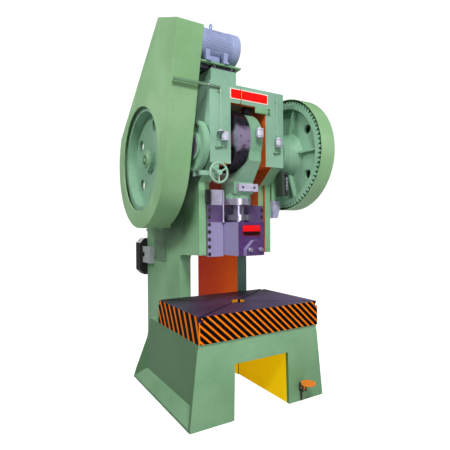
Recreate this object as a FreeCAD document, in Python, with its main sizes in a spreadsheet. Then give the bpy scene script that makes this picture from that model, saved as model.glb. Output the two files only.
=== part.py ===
"""Mechanical stamping press: C-frame, back geared, with belt drive and band brake.

Millimetres.  +X is the press's right, +Y its back, +Z up.  The origin lies on the floor,
straight under the crossing of the crank axis and the slide's centre line.
"""
import FreeCAD, Part
import math
import os
import re

import Sketcher
from FreeCAD import Placement, Rotation, Vector

doc = FreeCAD.newDocument("StampingPress")
sheet = doc.addObject("Spreadsheet::Sheet", "Sizes")
parts = {}

SIZES = {
    # bolster and bed
    "bolster_wide": 1080, "bolster_front": -350, "bolster_top": 778,
    "bolster_thick": 190, "bolster_bore": 60, "slug_hole": 75, "slot_wide": 22,
    "slot_foot_wide": 38,
    "slot_neck_deep": 20, "slot_deep": 38, "bed_thick": 40,
    # welded base
    "floor_wide": 1214, "base_front": -335, "base_back": 865, "base_back_top": 612,
    "front_plate_thick": 30, "side_panel_thick": 25, "skirt_high": 125, "skirt_back": 185,
    "flange_edge": 12, "arch_wide": 506, "arch_wide_top": 488, "arch_high": 405,
    "arch_wall": 20, "anchor_across": 1140, "anchor_along": 460, "anchor_radius": 12,
    "anchor_deep": 50,
    # side frames
    "frame_gap": 482, "frame_thick": 105, "frame_back": 1200, "frame_back_high": 1700,
    "crown_back": 900, "crown_top": 2477, "throat_face": 392, "throat_top": 1150,
    "nose_bottom": 1165, "nose_front": 15, "nose_top": 1740, "throat_round": 55,
    "gib_recess_wide": 49, "gib_recess_deep": 30, "tie_thick": 40, "tie_low": 1300,
    "tie_high": 1700, "crown_thick": 25,
    # bearing housings and head
    "housing_gap": 330, "housing_front": -170, "housing_back": 170, "housing_low": 1869,
    "housing_bore": 95, "beam_low": 2338, "beam_thick": 40,
    # crank
    "crank_high": 2010, "journal_radius": 75, "throw": 60, "pin_radius": 140,
    "pin_left": -160, "pin_right": 100, "crank_left_end": -412, "crank_right_end": 632,
    "running_gap": 0.4, "ring_left": -150, "ring_right": -34, "ring_radius": 250,
    "tommy_hole": 7, "tommy_deep": 25, "strap_left": -30, "strap_right": 86,
    "strap_radius": 236, "strap_bore": 155, "cap_split": -37,
    # brake
    "drum_radius": 188, "drum_left": -404, "drum_right": -354, "band_thick": 8,
    "band_wide": 40, "drum_face": 14,
    # gears and back shaft
    "gear_module": 12, "gear_teeth": 75, "pinion_teeth": 21, "gear_backlash": 1.6,
    "gear_left": 480, "gear_right": 606, "rim_depth": 50, "gear_web": 26, "gear_hub": 155,
    "hub_left": 372, "hub_flare": 45, "flare_start": 60, "gear_hole": 38,
    "gear_hole_ring": 320, "gear_rib": 16,
    "shaft_drop": 38, "back_shaft_radius": 45, "back_shaft_left": -588,
    "back_shaft_right": 608, "bush_wall": 16, "bush_collar": 8, "retainer_radius": 120,
    "retainer_thick": 10, "pinion_hub_gap": 6,
    # gear guard
    "gear_guard_gap": 14, "guard_sheet": 5, "gear_guard_left": 475,
    "gear_guard_right": 616, "pinion_guard_gap": 15, "lug_wide": 40, "lug_thick": 30,
    # flywheel and belts
    "flywheel_radius": 470, "flywheel_left": -606, "flywheel_right": -480,
    "flywheel_rim": 60, "flywheel_web": 30, "web_set_back": 80, "hub_set_back": 34,
    "flywheel_hub": 95, "flywheel_hole": 56, "flywheel_hole_ring": 312, "belt_wide": 18, "belt_thick": 12,
    "belt_pitch": 27, "belt_count": 4, "pulley_radius": 90, "pulley_wide": 118,
    # belt guard
    "guard_left": -640, "guard_right": -430, "guard_radius": 592, "guard_hole": 448,
    "guard_tip_front": -248, "guard_tip_low": 2830, "guard_tip_back": 103,
    "guard_tip_high": 2985, "guard_knee_high": 2248, "bar_thick": 14, "bar_low": 2426,
    "bar_high": 2444, "bar_right": -264,
    # motor
    "motor_back": -75, "motor_high": 2765, "motor_radius": 122, "motor_left": -418,
    "motor_right": -158, "cowl_right": -88, "cowl_radius": 128, "motor_shaft_radius": 19,
    "seat_left": -334, "seat_right": -114, "seat_back": 150, "seat_top": 2571,
    "motor_plate_low": 2598, "motor_plate_thick": 12, "motor_plate_left": -424,
    "motor_plate_right": -78, "motor_plate_front": -185, "motor_plate_back": 60,
    "foot_wide": 36, "foot_spread": 216, "foot_thick": 14, "adjuster_radius": 10,
    "adjuster_nut": 17, "nut_high": 16, "adjuster_spread": 150, "adjuster_depth": 150,
    # slide, gibs and their covers
    "slide_wide": 244, "slide_front": -200, "slide_back": 200, "slide_low": 1162,
    "slide_top": 1424, "tongue_wide": 310, "tongue_front": 49, "tongue_end_gap": 20,
    "pocket_half": 79, "pocket_deep": 160, "shank_bore": 25, "shank_deep": 85,
    "gib_low": 1150, "gib_high": 1563, "cover_inner": 126, "cover_outer": 270,
    "back_guide_thick": 35, "gib_bolt": 9, "bolt_head": 12, "stop_left": -236,
    "stop_right": -135, "stop_back": 85, "stop_high": 1685, "clamp_wide": 150,
    "clamp_thick": 42, "clamp_high": 1284, "clamp_chamfer": 34, "stud_radius": 11,
    "stud_reach": 34, "stud_spread": 96, "stud_high": 1212, "clamp_nut": 19,
    "label_thick": 3,
    # connecting rod
    "stem_wide": 190, "stem_deep": 200, "stem_low": 1650, "stem_top": 1805,
    "rod_shoulder_deep": 430, "rod_shoulder_low": 1900, "rod_foot": 108,
    "rod_foot_low": 1612, "lock_low": 1562, "lock_radius": 112, "screw_radius": 56,
    "screw_up": 120, "ball_radius": 73, "ball_high": 1352, "cap_low": 1438,
    "screw_cap_high": 1484, "screw_cap_radius": 106, "clamp_plate_high": 1728,
    "clamp_plate_low": 1668, "clamp_plate_thick": 45, "clamp_plate_shift": 8,
    # head plate, oil cups
    "name_left": -170, "name_right": 188, "name_low": 2367, "name_high": 2450,
    "oil_cup_radius": 28, "oil_cup_tall": 64, "oil_cup_spread": 507, "oil_cup_high": 2031,
    "oil_stem_radius": 8, "oil_cup_shift": 18,
    # handwheel
    "wheel_across": -301, "wheel_high": 1787, "wheel_front": -222, "wheel_radius": 72,
    "wheel_rim": 9, "wheel_hub": 20, "wheel_hub_long": 34, "spoke_radius": 7,
    "wheel_shaft": 10, "bracket_left": -428, "bracket_thick": 30, "bracket_half": 30,
    "bracket_foot": 42, "arm_high": 34,
    # clutch trip on the right-hand side
    "trip_left": 350, "trip_rod_wide": 42, "trip_rod_thick": 18, "trip_rod_front": -8,
    "trip_rod_low": 1606, "trip_rod_high": 1850, "box_low": 1459, "box_wide": 76,
    "box_front": -22, "box_deep": 84, "box_taper": 26, "box_straight": 62,
    # foot pedal
    "pedal_across": 372, "pedal_reach": 86, "pedal_high": 160, "pedal_radius": 56,
    "pedal_thick": 12, "pedal_arm_wide": 20, "pedal_arm_thick": 14, "pedal_drop": 44,
    "ear_gap": 24, "ear_thick": 8, "ear_long": 46, "ear_tall": 60, "pedal_pin": 7,
    # electrical boxes on the column
    "cabinet_left": -425, "cabinet_right": -190, "cabinet_deep": 120, "cabinet_low": 897,
    "cabinet_high": 1272, "cabinet_chamfer": 48, "door_thick": 12, "hinge_radius": 5,
    "isolator_front": 985, "isolator_back": 1196, "isolator_low": 1028,
    "isolator_high": 1190, "isolator_deep": 54, "knob_radius": 20, "knob_deep": 22,
}

for number, (alias, value) in enumerate(SIZES.items(), start=1):
    sheet.set("A%d" % number, alias)
    sheet.set("B%d" % number, str(value))
    sheet.setAlias("B%d" % number, alias)
doc.recompute()

WORD = re.compile(r"[a-z]+(?:_[a-z]+)+|\b(?:throw)\b")


def cells(formula):
    """Point each size's name in a formula at its cell in the sheet."""
    return WORD.sub(lambda word: "Sizes." + word.group(0), formula)


def value(formula):
    """Work a formula out with the sheet's present numbers."""
    return float(sheet.evalExpression(cells(formula)))


def bind(item, prop, formula):
    """Tie one property of an object to a formula of named sizes."""
    item.setExpression(prop, cells(formula))


def keep(node, item):
    """Name a finished sub-part and list it for export."""
    item.Label = node
    parts[node] = item
    return item


def new(kind, label):
    """Add an object of this kind under its own label."""
    item = doc.addObject(kind, label)
    item.Label = label
    return item


def place(item, spot):
    """Tie an object's position to three formulas."""
    for axis, formula in zip("xyz", spot):
        bind(item, "Placement.Base." + axis, formula)
    return item


def box(label, across, along, up):
    """A block between two formulas on each axis."""
    item = new("Part::Box", label)
    for prop, (low, high) in zip(("Length", "Width", "Height"), (across, along, up)):
        bind(item, prop, "(%s) - (%s)" % (high, low))
    return place(item, (across[0], along[0], up[0]))


TURNS = {
    "X": Rotation(Vector(0, 1, 0), 90),
    "Y": Rotation(Vector(1, 0, 0), -90),
    "Z": Rotation(),
}


def rod(label, axis, radius, spot, length):
    """A cylinder that starts at a spot and runs along one axis."""
    item = new("Part::Cylinder", label)
    item.Placement = Placement(Vector(), TURNS[axis])
    bind(item, "Radius", radius)
    bind(item, "Height", length)
    return place(item, spot)


def cut(label, base, *tools):
    """Take tools away from a base."""
    item = new("Part::Cut", label)
    item.Base = base
    if len(tools) > 1:
        item.Tool = join(label + "_tools", *tools)
        item.Tool.Refine = False
    else:
        item.Tool = tools[0]
    return item


def join(label, *items):
    """Weld several shapes into one."""
    item = new("Part::MultiFuse", label)
    item.Shapes = list(items)
    item.Refine = True
    return item


def group(label, *items):
    """Keep several like pieces apart in one node."""
    item = new("Part::Compound", label)
    item.Links = list(items)
    return item


def mirrored(label, source):
    """The other hand of a piece, across the press's centre plane."""
    item = new("Part::Mirroring", label)
    item.Source = source
    item.Normal = Vector(1, 0, 0)
    return item


def ring(label, axis, outer, inner, spot, length):
    """A tube along one axis."""
    wall = rod(label + "_outer", axis, outer, spot, length)
    hole = rod(label + "_hole", axis, inner, spot, length)
    return cut(label, wall, hole)


def origin_plane(body, role):
    """Find one of a body's own origin planes."""
    return [item for item in body.Origin.OriginFeatures if item.Role == role][0]


def pin_point(sketch, geometry, point, spot):
    """Hold one point of a sketch at two formulas."""
    for kind, formula in zip(("DistanceX", "DistanceY"), spot):
        number = sketch.addConstraint(
            Sketcher.Constraint(kind, -1, 1, geometry, point, value(formula)))
        bind(sketch, "Constraints[%d]" % number, formula)


def outline(body, name, role, points, offset):
    """A closed outline of straight lines on one of the body's planes."""
    sketch = body.newObject("Sketcher::SketchObject", name)
    sketch.AttachmentSupport = [(origin_plane(body, role), "")]
    sketch.MapMode = "FlatFace"
    bind(sketch, "AttachmentOffset.Base.z", offset)
    corners = [Vector(value(first), value(second), 0) for first, second in points]
    count = len(corners)
    for number in range(count):
        sketch.addGeometry(Part.LineSegment(corners[number], corners[(number + 1) % count]))
    for number in range(count):
        sketch.addConstraint(
            Sketcher.Constraint("Coincident", number, 2, (number + 1) % count, 1))
    for number, spot in enumerate(points):
        pin_point(sketch, number, 1, spot)
    return sketch


def plate(label, role, points, start, length):
    """A plate padded from a drawn outline, along the plane's own axis."""
    body = new("PartDesign::Body", label)
    backward = role == "XZ_Plane"
    offset = "-(%s)" % start if backward else start
    pad = body.newObject("PartDesign::Pad", label + "_pad")
    pad.Profile = outline(body, label + "_outline", role, points, offset)
    bind(pad, "Length", length)
    pad.Reversed = backward
    body.Tip = pad
    return body


def edges_near(shape, axis, spots, reach):
    """Names of the straight edges along an axis that pass near given spots."""
    names = []
    for number, edge in enumerate(shape.Edges, start=1):
        middle = edge.CenterOfMass
        along = abs(edge.tangentAt(edge.FirstParameter).dot(axis)) > 0.999
        close = any((middle - spot).Length < reach for spot in spots)
        if along and close:
            names.append("Edge%d" % number)
    return names


# ---------------------------------------------------------------- base and bed

HALF = "bolster_wide / 2"
FLOOR = "floor_wide / 2"
BASE_TOP = "(bolster_top - bolster_thick)"
BED_LOW = "(bolster_top - bolster_thick - bed_thick)"
LEAN = "(floor_wide - bolster_wide) / 2 / %s" % BASE_TOP
SIDE_TOP = "(%s - %s * %s)" % (FLOOR, LEAN, BED_LOW)
PANEL = "(%s)" % HALF
FRAME_IN = "(frame_gap / 2)"
FRAME_OUT = "(frame_gap / 2 + frame_thick)"


def build_base():
    """Front plate with the arch, recessed side walls, arch lining and bed."""
    points = [
        ("-" + FLOOR, "0"), ("-arch_wide / 2", "0"), ("-arch_wide_top / 2", "arch_high"),
        ("arch_wide_top / 2", "arch_high"), ("arch_wide / 2", "0"), (FLOOR, "0"),
        (SIDE_TOP, BED_LOW), ("-" + SIDE_TOP, BED_LOW),
    ]
    keep("base_front_plate", plate("base_front_plate", "XZ_Plane", points,
                                   "base_front", "front_plate_thick"))

    wall_start = "base_front + front_plate_thick"
    outer = new("Part::Wedge", "base_wall_block")
    outer.Placement = Placement(Vector(), Rotation(Vector(1, 0, 0), 90))
    bounds = (
        ("Ymin", "0"), ("Ymax", BED_LOW),
        ("Xmin", "-" + FLOOR), ("Xmax", "side_panel_thick - " + PANEL),
        ("X2min", "-" + SIDE_TOP), ("X2max", "side_panel_thick - " + PANEL),
        ("Zmin", "-base_back"), ("Zmax", "-(%s)" % wall_start),
        ("Z2min", "-base_back_top"), ("Z2max", "-(%s)" % wall_start),
    )
    for prop, formula in bounds:
        bind(outer, prop, formula)
    recess = new("Part::Wedge", "base_wall_recess")
    recess.Placement = Placement(Vector(), Rotation(Vector(0, 0, 1), 90))
    bounds = (
        ("Ymin", PANEL), ("Ymax", FLOOR + " + 1"),
        ("Xmin", wall_start), ("Xmax", "base_back - skirt_back"),
        ("X2min", wall_start), ("X2max", "base_back - flange_edge"),
        ("Zmin", "skirt_high"), ("Zmax", BASE_TOP),
        ("Z2min", "flange_edge"), ("Z2max", BASE_TOP),
    )
    for prop, formula in bounds:
        bind(recess, prop, formula)
    anchors = [rod("anchor_hole_" + name, "Z", "anchor_radius",
                   ("-anchor_across / 2", sign + "anchor_along / 2", "0"), "anchor_deep")
               for name, sign in (("front", "-"), ("back", ""))]
    left = keep("base_side_left", cut("base_side_left", outer, recess, *anchors))
    keep("base_side_right", mirrored("base_side_right", left))

    lining = [
        ("arch_wide / 2", "0"), ("arch_wide / 2 + arch_wall", "0"),
        ("arch_wide_top / 2 + arch_wall", "arch_high"), ("arch_wide_top / 2", "arch_high"),
    ]
    depth = "throat_face - (%s)" % wall_start
    right = plate("arch_wall_right", "XZ_Plane", lining, wall_start, depth)
    reach = "arch_wide_top / 2 + arch_wall"
    roof = box("arch_roof", ("-(%s)" % reach, reach), (wall_start, "throat_face"),
               ("arch_high", "arch_high + arch_wall"))
    drop = rod("arch_slug_hole", "Z", "slug_hole", ("0", "0", "arch_high"), "arch_wall")
    keep("arch_lining", group("arch_lining", right, mirrored("arch_wall_left", right),
                              cut("arch_roof_holed", roof, drop)))
    bed = [
        ("-" + HALF, "base_front"), (HALF, "base_front"), (HALF, "base_back_top"),
        (FRAME_OUT, "base_back_top"), (FRAME_OUT, "throat_face"),
        ("-" + FRAME_OUT, "throat_face"), ("-" + FRAME_OUT, "base_back_top"),
        ("-" + HALF, "base_back_top"),
    ]
    slug = rod("bed_slug_hole", "Z", "slug_hole", ("0", "0", BED_LOW), "bed_thick")
    keep("bed_plate", cut("bed_plate", plate("bed_block", "XY_Plane", bed, BED_LOW,
                                             "bed_thick"), slug))


def build_bolster():
    """Bolster plate with a centre bore and two T-slots from corner to corner."""
    block = box("bolster_block", ("-" + HALF, HALF), ("bolster_front", "throat_face"),
                (BASE_TOP, "bolster_top"))
    tools = [rod("bolster_bore_hole", "Z", "bolster_bore", ("0", "0", BASE_TOP),
                 "bolster_thick")]
    deep = "(throat_face - bolster_front)"
    middle = "(throat_face + bolster_front) / 2"
    long = "sqrt(bolster_wide ^ 2 + %s ^ 2)" % deep
    for sign, hand in ((1, "rising"), (-1, "falling")):
        for wide, low, high, level in (
                ("slot_wide", "bolster_top - slot_neck_deep", "bolster_top", "neck"),
                ("slot_foot_wide", "bolster_top - slot_deep",
                 "bolster_top - slot_neck_deep", "foot")):
            slot = new("Part::Box", "slot_%s_%s" % (hand, level))
            angle = "%d * atan(%s / bolster_wide)" % (sign, deep)
            bind(slot, "Length", "1.2 * " + long)
            bind(slot, "Width", wide)
            bind(slot, "Height", "(%s) - (%s)" % (high, low))
            bind(slot, "Placement.Rotation.Angle", angle)
            half_long = "0.6 * " + long
            spot = (
                "-%s * cos(%s) + %s / 2 * sin(%s)" % (half_long, angle, wide, angle),
                "%s - %s * sin(%s) - %s / 2 * cos(%s)" % (middle, half_long, angle, wide, angle),
                low,
            )
            tools.append(place(slot, spot))
    keep("bolster_plate", cut("bolster_plate", block, *tools))


# ---------------------------------------------------------------- frame

SHAFT_APART = "(gear_module * (gear_teeth + pinion_teeth) / 2)"
SHAFT_BACK = "sqrt(%s ^ 2 - shaft_drop ^ 2)" % SHAFT_APART
SHAFT_HIGH = "(crank_high - shaft_drop)"
BUSH_RADIUS = "(back_shaft_radius + bush_wall)"


def build_side_frames():
    """Two C-shaped side plates, bored for the back shaft and stepped for the gib covers."""
    points = [
        ("throat_face", "0"), ("frame_back", "0"), ("frame_back", "frame_back_high"),
        ("crown_back", "crown_top"), ("housing_back", "crown_top"),
        ("housing_back", "housing_low"), ("housing_front + 35", "housing_low"),
        ("nose_front", "nose_top"), ("nose_front", "nose_bottom"),
        ("throat_face - throat_round", "throat_top"), ("throat_face", "throat_top"),
    ]
    body = plate("frame_plate", "YZ_Plane", points, FRAME_IN, "frame_thick")
    doc.recompute()
    corner = Vector(value(FRAME_IN + " + frame_thick / 2"), value("throat_face"),
                    value("throat_top"))
    names = edges_near(body.Shape, Vector(1, 0, 0), [corner], 1)
    pad = body.Tip
    rounding = body.newObject("PartDesign::Fillet", "throat_rounding")
    rounding.Base = (pad, names)
    bind(rounding, "Radius", "throat_round * 0.9")
    body.Tip = rounding
    hole = rod("back_shaft_seat", "X", BUSH_RADIUS, (FRAME_IN, SHAFT_BACK, SHAFT_HIGH),
               "frame_thick")
    step = box("gib_cover_step", (FRAME_IN, FRAME_IN + " + gib_recess_wide"),
               ("nose_front", "nose_front + gib_recess_deep"), ("gib_low", "nose_top"))
    right = keep("side_frame_right", cut("side_frame_right", body, hole, step))
    keep("side_frame_left", mirrored("side_frame_left", right))


def build_head():
    """Bearing housings, cross beam, crown plate, rear tie and motor seat."""
    inner = "housing_gap / 2"
    block = box("housing_block", (inner, FRAME_OUT), ("housing_front", "housing_back"),
                ("housing_low", "crown_top"))
    bore = rod("housing_bore_hole", "X", "housing_bore", (inner, "0", "crank_high"),
               FRAME_OUT + " - " + inner)
    right = keep("bearing_housing_right", cut("bearing_housing_right", block, bore))
    keep("bearing_housing_left", mirrored("bearing_housing_left", right))
    span = ("-" + inner, inner)
    keep("head_cross_beam", box("head_cross_beam", span,
                                ("housing_front", "housing_front + beam_thick"),
                                ("beam_low", "crown_top")))
    crown = [
        ("-" + inner, "housing_front + beam_thick"), (inner, "housing_front + beam_thick"),
        (inner, "housing_back"), (FRAME_IN, "housing_back"), (FRAME_IN, "crown_back"),
        ("-" + FRAME_IN, "crown_back"), ("-" + FRAME_IN, "housing_back"),
        ("-" + inner, "housing_back"),
    ]
    top = plate("crown_plate", "XY_Plane", crown, "crown_top - crown_thick", "crown_thick")
    tie = box("rear_tie", ("-" + FRAME_IN, FRAME_IN), ("frame_back - tie_thick", "frame_back"),
              ("tie_low", "tie_high"))
    keep("frame_tie_plates", group("frame_tie_plates", top, tie))
    keep("motor_seat", box("motor_seat", ("seat_left", "seat_right"),
                           ("housing_front", "seat_back"), ("crown_top", "seat_top")))
    plate_box = box("name_plate", ("name_left", "name_right"),
                    ("housing_front - label_thick", "housing_front"),
                    ("name_low", "name_high"))
    keep("name_plate", plate_box)


def build_bushes():
    """Flanged bronze bushes of the crank and of the back shaft."""
    inner = "housing_gap / 2"
    length = FRAME_OUT + " - " + inner
    crank = ring("crank_bush_right", "X", "housing_bore", "journal_radius + running_gap",
                 (inner, "0", "crank_high"), length)
    shaft = ring("back_bush_right", "X", BUSH_RADIUS, "back_shaft_radius + running_gap",
                 (FRAME_IN, SHAFT_BACK, SHAFT_HIGH), "frame_thick + bush_collar")
    pieces = (crank, mirrored("crank_bush_left", crank), shaft,
              mirrored("back_bush_left", shaft))
    keep("bearing_bushes", group("bearing_bushes", *pieces))


# ---------------------------------------------------------------- crank, rod and brake

PIN_HIGH = "(crank_high + throw)"


def build_crank():
    """Crankshaft with its eccentric, stroke ring, brake drum and gear retainer."""
    journal = rod("crank_journal", "X", "journal_radius",
                  ("crank_left_end", "0", "crank_high"), "crank_right_end - crank_left_end")
    cheek = rod("crank_eccentric", "X", "pin_radius", ("pin_left", "0", PIN_HIGH),
                "pin_right - pin_left")
    keep("crankshaft", join("crankshaft", journal, cheek))

    blank = ring("stroke_ring_blank", "X", "ring_radius", "pin_radius",
                 ("ring_left", "0", PIN_HIGH), "ring_right - ring_left")
    holes = []
    rows = ((0.22, 12, 0.0), (0.5, 12, 15.0), (0.8, 12, 7.0))
    for row, (share, count, shift) in enumerate(rows):
        for number in range(count):
            angle = "%f" % (360.0 * number / count + shift)
            hole = new("Part::Cylinder", "tommy_%d_%d" % (row, number))
            direction = Vector(0, math.cos(math.radians(float(angle))),
                               math.sin(math.radians(float(angle))))
            hole.Placement = Placement(Vector(), Rotation(Vector(0, 0, 1), direction))
            bind(hole, "Radius", "tommy_hole")
            bind(hole, "Height", "tommy_deep * 2")
            place(hole, ("ring_left + (ring_right - ring_left) * %f" % share,
                         "(ring_radius - tommy_deep) * cos(%s)" % angle,
                         "%s + (ring_radius - tommy_deep) * sin(%s)" % (PIN_HIGH, angle)))
            holes.append(hole)
    keep("stroke_ring", cut("stroke_ring", blank, *holes))

    rim = rod("drum_blank", "X", "drum_radius", ("drum_left", "0", "crank_high"),
              "drum_right - drum_left")
    dish = rod("drum_dish", "X", "drum_radius - drum_face",
               ("drum_left", "0", "crank_high"), "drum_face")
    bore = rod("drum_bore", "X", "journal_radius", ("drum_left", "0", "crank_high"),
               "drum_right - drum_left")
    hub = ring("drum_hub", "X", "journal_radius + drum_face * 2", "journal_radius",
               ("drum_left", "0", "crank_high"), "drum_right - drum_left")
    keep("brake_drum", join("brake_drum", cut("drum_shell", rim, dish, bore), hub))
    keep("gear_retainer", ring("gear_retainer", "X", "retainer_radius", "journal_radius",
                               ("gear_right + running_gap", "0", "crank_high"),
                               "retainer_thick"))


def build_brake_band():
    """Band round the drum, with its anchor ears bolted to the housing's side."""
    middle = "(drum_left + drum_right - band_wide) / 2"
    inside = "drum_radius + running_gap"
    outside = "drum_radius + running_gap + band_thick"
    hoop = ring("band_hoop", "X", outside, inside, (middle, "0", "crank_high"), "band_wide")
    lug = box("band_lug", (middle, "-" + FRAME_OUT),
              ("-bar_thick", "bar_thick"),
              ("crank_high - (%s) - band_wide" % inside, "crank_high - (%s)" % inside))
    keep("brake_band", join("brake_band", hoop, lug))


def build_rod():
    """Connecting rod, strap cap, clamp plate, lock collar and ball screw."""
    width = "strap_right - strap_left"
    inside = "strap_bore + running_gap"
    split = "(%s + cap_split)" % PIN_HIGH
    strap = rod("strap_disc", "X", "strap_radius", ("strap_left", "0", PIN_HIGH), width)
    shoulder = box("rod_shoulder", ("strap_left", "strap_right"),
                   ("-rod_shoulder_deep / 2", "rod_shoulder_deep / 2"),
                   ("rod_shoulder_low", split))
    taper = new("Part::Wedge", "rod_taper")
    taper.Placement = Placement(Vector(), Rotation(Vector(1, 0, 0), 90))
    bounds = (
        ("Ymin", "stem_top - 60"), ("Ymax", "rod_shoulder_low"),
        ("Xmin", "-stem_wide / 2"), ("Xmax", "strap_right"),
        ("X2min", "strap_left"), ("X2max", "strap_right"),
        ("Zmin", "-stem_deep / 2"), ("Zmax", "stem_deep / 2"),
        ("Z2min", "-rod_shoulder_deep / 2"), ("Z2max", "rod_shoulder_deep / 2"),
    )
    for prop, formula in bounds:
        bind(taper, prop, formula)
    stem = box("rod_stem", ("-stem_wide / 2", "strap_right"),
               ("-stem_deep / 2", "stem_deep / 2"), ("stem_low", "stem_top - 60"))
    foot = rod("rod_foot_boss", "Z", "rod_foot", ("0", "0", "rod_foot_low"),
               "stem_low - rod_foot_low")
    bore = rod("rod_bore", "X", inside, ("strap_left - 200", "0", PIN_HIGH), width + " + 400")
    ring_room = rod("ring_room", "X", "ring_radius + running_gap * 5",
                    ("ring_left", "0", PIN_HIGH), "strap_left - ring_left - running_gap")
    thread = rod("rod_thread", "Z", "screw_radius", ("0", "0", "rod_foot_low"), "screw_up")
    reach = "strap_radius * 2"
    above = box("above_split", ("-" + reach, reach), ("-" + reach, reach),
                (split, split + " + " + reach))
    lower = join("rod_blank", strap, shoulder, taper, stem, foot)
    keep("conrod", cut("conrod", lower, bore, ring_room, thread, above))
    cap = new("Part::Common", "cap_half")
    cap.Base = rod("cap_disc", "X", "strap_radius", ("strap_left", "0", PIN_HIGH), width)
    cap.Tool = box("cap_side", ("-" + reach, reach), ("-" + reach, reach),
                   (split, split + " + " + reach))
    hole = rod("cap_bore", "X", inside, ("strap_left", "0", PIN_HIGH), width)
    keep("conrod_cap", cut("conrod_cap", cap, hole))
    keep("eccentric_bush", ring("eccentric_bush", "X", "strap_bore", "pin_radius",
                                ("strap_left", "0", PIN_HIGH), width))
    keep("clamp_plate", box("clamp_plate",
                            ("clamp_plate_shift - stem_wide / 2 + 12",
                             "clamp_plate_shift + stem_wide / 2"),
                            ("-stem_deep / 2 - clamp_plate_thick", "-stem_deep / 2"),
                            ("clamp_plate_low", "clamp_plate_high")))
    collar = ring("collar_ring", "Z", "lock_radius", "screw_radius", ("0", "0", "lock_low"),
                  "rod_foot_low - lock_low")
    keep("lock_collar", collar)
    screw = rod("screw_shank", "Z", "screw_radius", ("0", "0", "ball_high"),
                "rod_foot_low + screw_up - ball_high")
    ball = new("Part::Sphere", "screw_ball")
    bind(ball, "Radius", "ball_radius")
    place(ball, ("0", "0", "ball_high"))
    cap_ring = rod("screw_cap", "Z", "screw_cap_radius", ("0", "0", "cap_low"),
                   "screw_cap_high - cap_low")
    keep("ball_screw", join("ball_screw", screw, ball, cap_ring))


# ---------------------------------------------------------------- slide and its guides

def build_slide():
    """Slide with its guide tongue, ball pocket and shank bore, and what is on its face."""
    half = "slide_wide / 2"
    main = box("slide_block", ("-" + half, half), ("slide_front", "slide_back"),
               ("slide_low", "slide_top"))
    tongue = box("slide_tongue", ("-tongue_wide / 2", "tongue_wide / 2"),
                 ("tongue_front", "slide_back"),
                 ("slide_low + tongue_end_gap", "slide_top - tongue_end_gap"))
    pocket = box("ball_pocket", ("-pocket_half", "pocket_half"),
                 ("-pocket_half", "pocket_half + throw"),
                 ("slide_top - pocket_deep", "slide_top"))
    shank = rod("shank_hole", "Z", "shank_bore", ("0", "0", "slide_low"), "shank_deep")
    keep("slide", cut("slide", join("slide_blank", main, tongue), pocket, shank))

    side = "clamp_wide / 2"
    cap = [
        ("-" + side, "slide_low + 3"), (side, "slide_low + 3"),
        (side, "clamp_high - clamp_chamfer * 1.5"), (side + " - clamp_chamfer", "clamp_high"),
        (side + " - clamp_chamfer * 2.4", "clamp_high"),
        ("-" + side, "clamp_high - clamp_chamfer * 2"),
    ]
    keep("die_clamp_cap", plate("die_clamp_cap", "XZ_Plane", cap,
                                "slide_front - clamp_thick", "clamp_thick"))
    nuts = []
    for sign, hand in ((-1, "left"), (1, "right")):
        across = "%d * stud_spread / 2" % sign
        face = "slide_front - clamp_thick"
        stud = rod("stud_" + hand, "Y", "stud_radius",
                   (across, face + " - stud_reach", "stud_high"), "stud_reach")
        nut = new("Part::Prism", "nut_" + hand)
        nut.Polygon = 6
        nut.Placement = Placement(Vector(), TURNS["Y"])
        bind(nut, "Circumradius", "clamp_nut")
        bind(nut, "Height", "nut_high")
        place(nut, (across, face + " - nut_high", "stud_high"))
        nuts.append(join("stud_and_nut_" + hand, stud, nut))
    keep("die_clamp_nuts", group("die_clamp_nuts", *nuts))


def build_guides():
    """Gibs, their covers with screws, the rear guide and the stop block above."""
    front = "nose_front"
    seat = "(nose_front + gib_recess_deep)"
    gib = box("gib_right", ("tongue_wide / 2 + running_gap", FRAME_IN),
              (seat, "slide_back + running_gap"), ("gib_low", "gib_high"))
    keep("gibs", group("gibs", gib, mirrored("gib_left", gib)))
    cover = box("gib_cover_right", ("cover_inner", "cover_outer"), (front, seat),
                ("gib_low", "gib_high"))
    keep("gib_covers", group("gib_covers", cover, mirrored("gib_cover_left", cover)))
    keep("slide_back_guide", box("slide_back_guide", ("-" + FRAME_IN, FRAME_IN),
                                 ("slide_back + running_gap",
                                  "slide_back + running_gap + back_guide_thick"),
                                 ("gib_low", "gib_high")))
    bolts = []
    rows = 7
    for number in range(rows):
        level = "gib_low + (gib_high - gib_low) * %f" % ((number + 0.35) / rows)
        bolt = rod("gib_bolt_right_%d" % number, "Y", "gib_bolt",
                   ("cover_outer - gib_bolt * 1.6", front + " - bolt_head", level), "bolt_head")
        bolts.append(bolt)
        bolts.append(mirrored("gib_bolt_left_%d" % number, bolt))
    keep("gib_bolts", group("gib_bolts", *bolts))
    keep("stop_block", box("stop_block", ("stop_left", "stop_right"),
                           (front, "stop_back"), ("gib_high", "stop_high")))


# ---------------------------------------------------------------- gears

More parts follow.
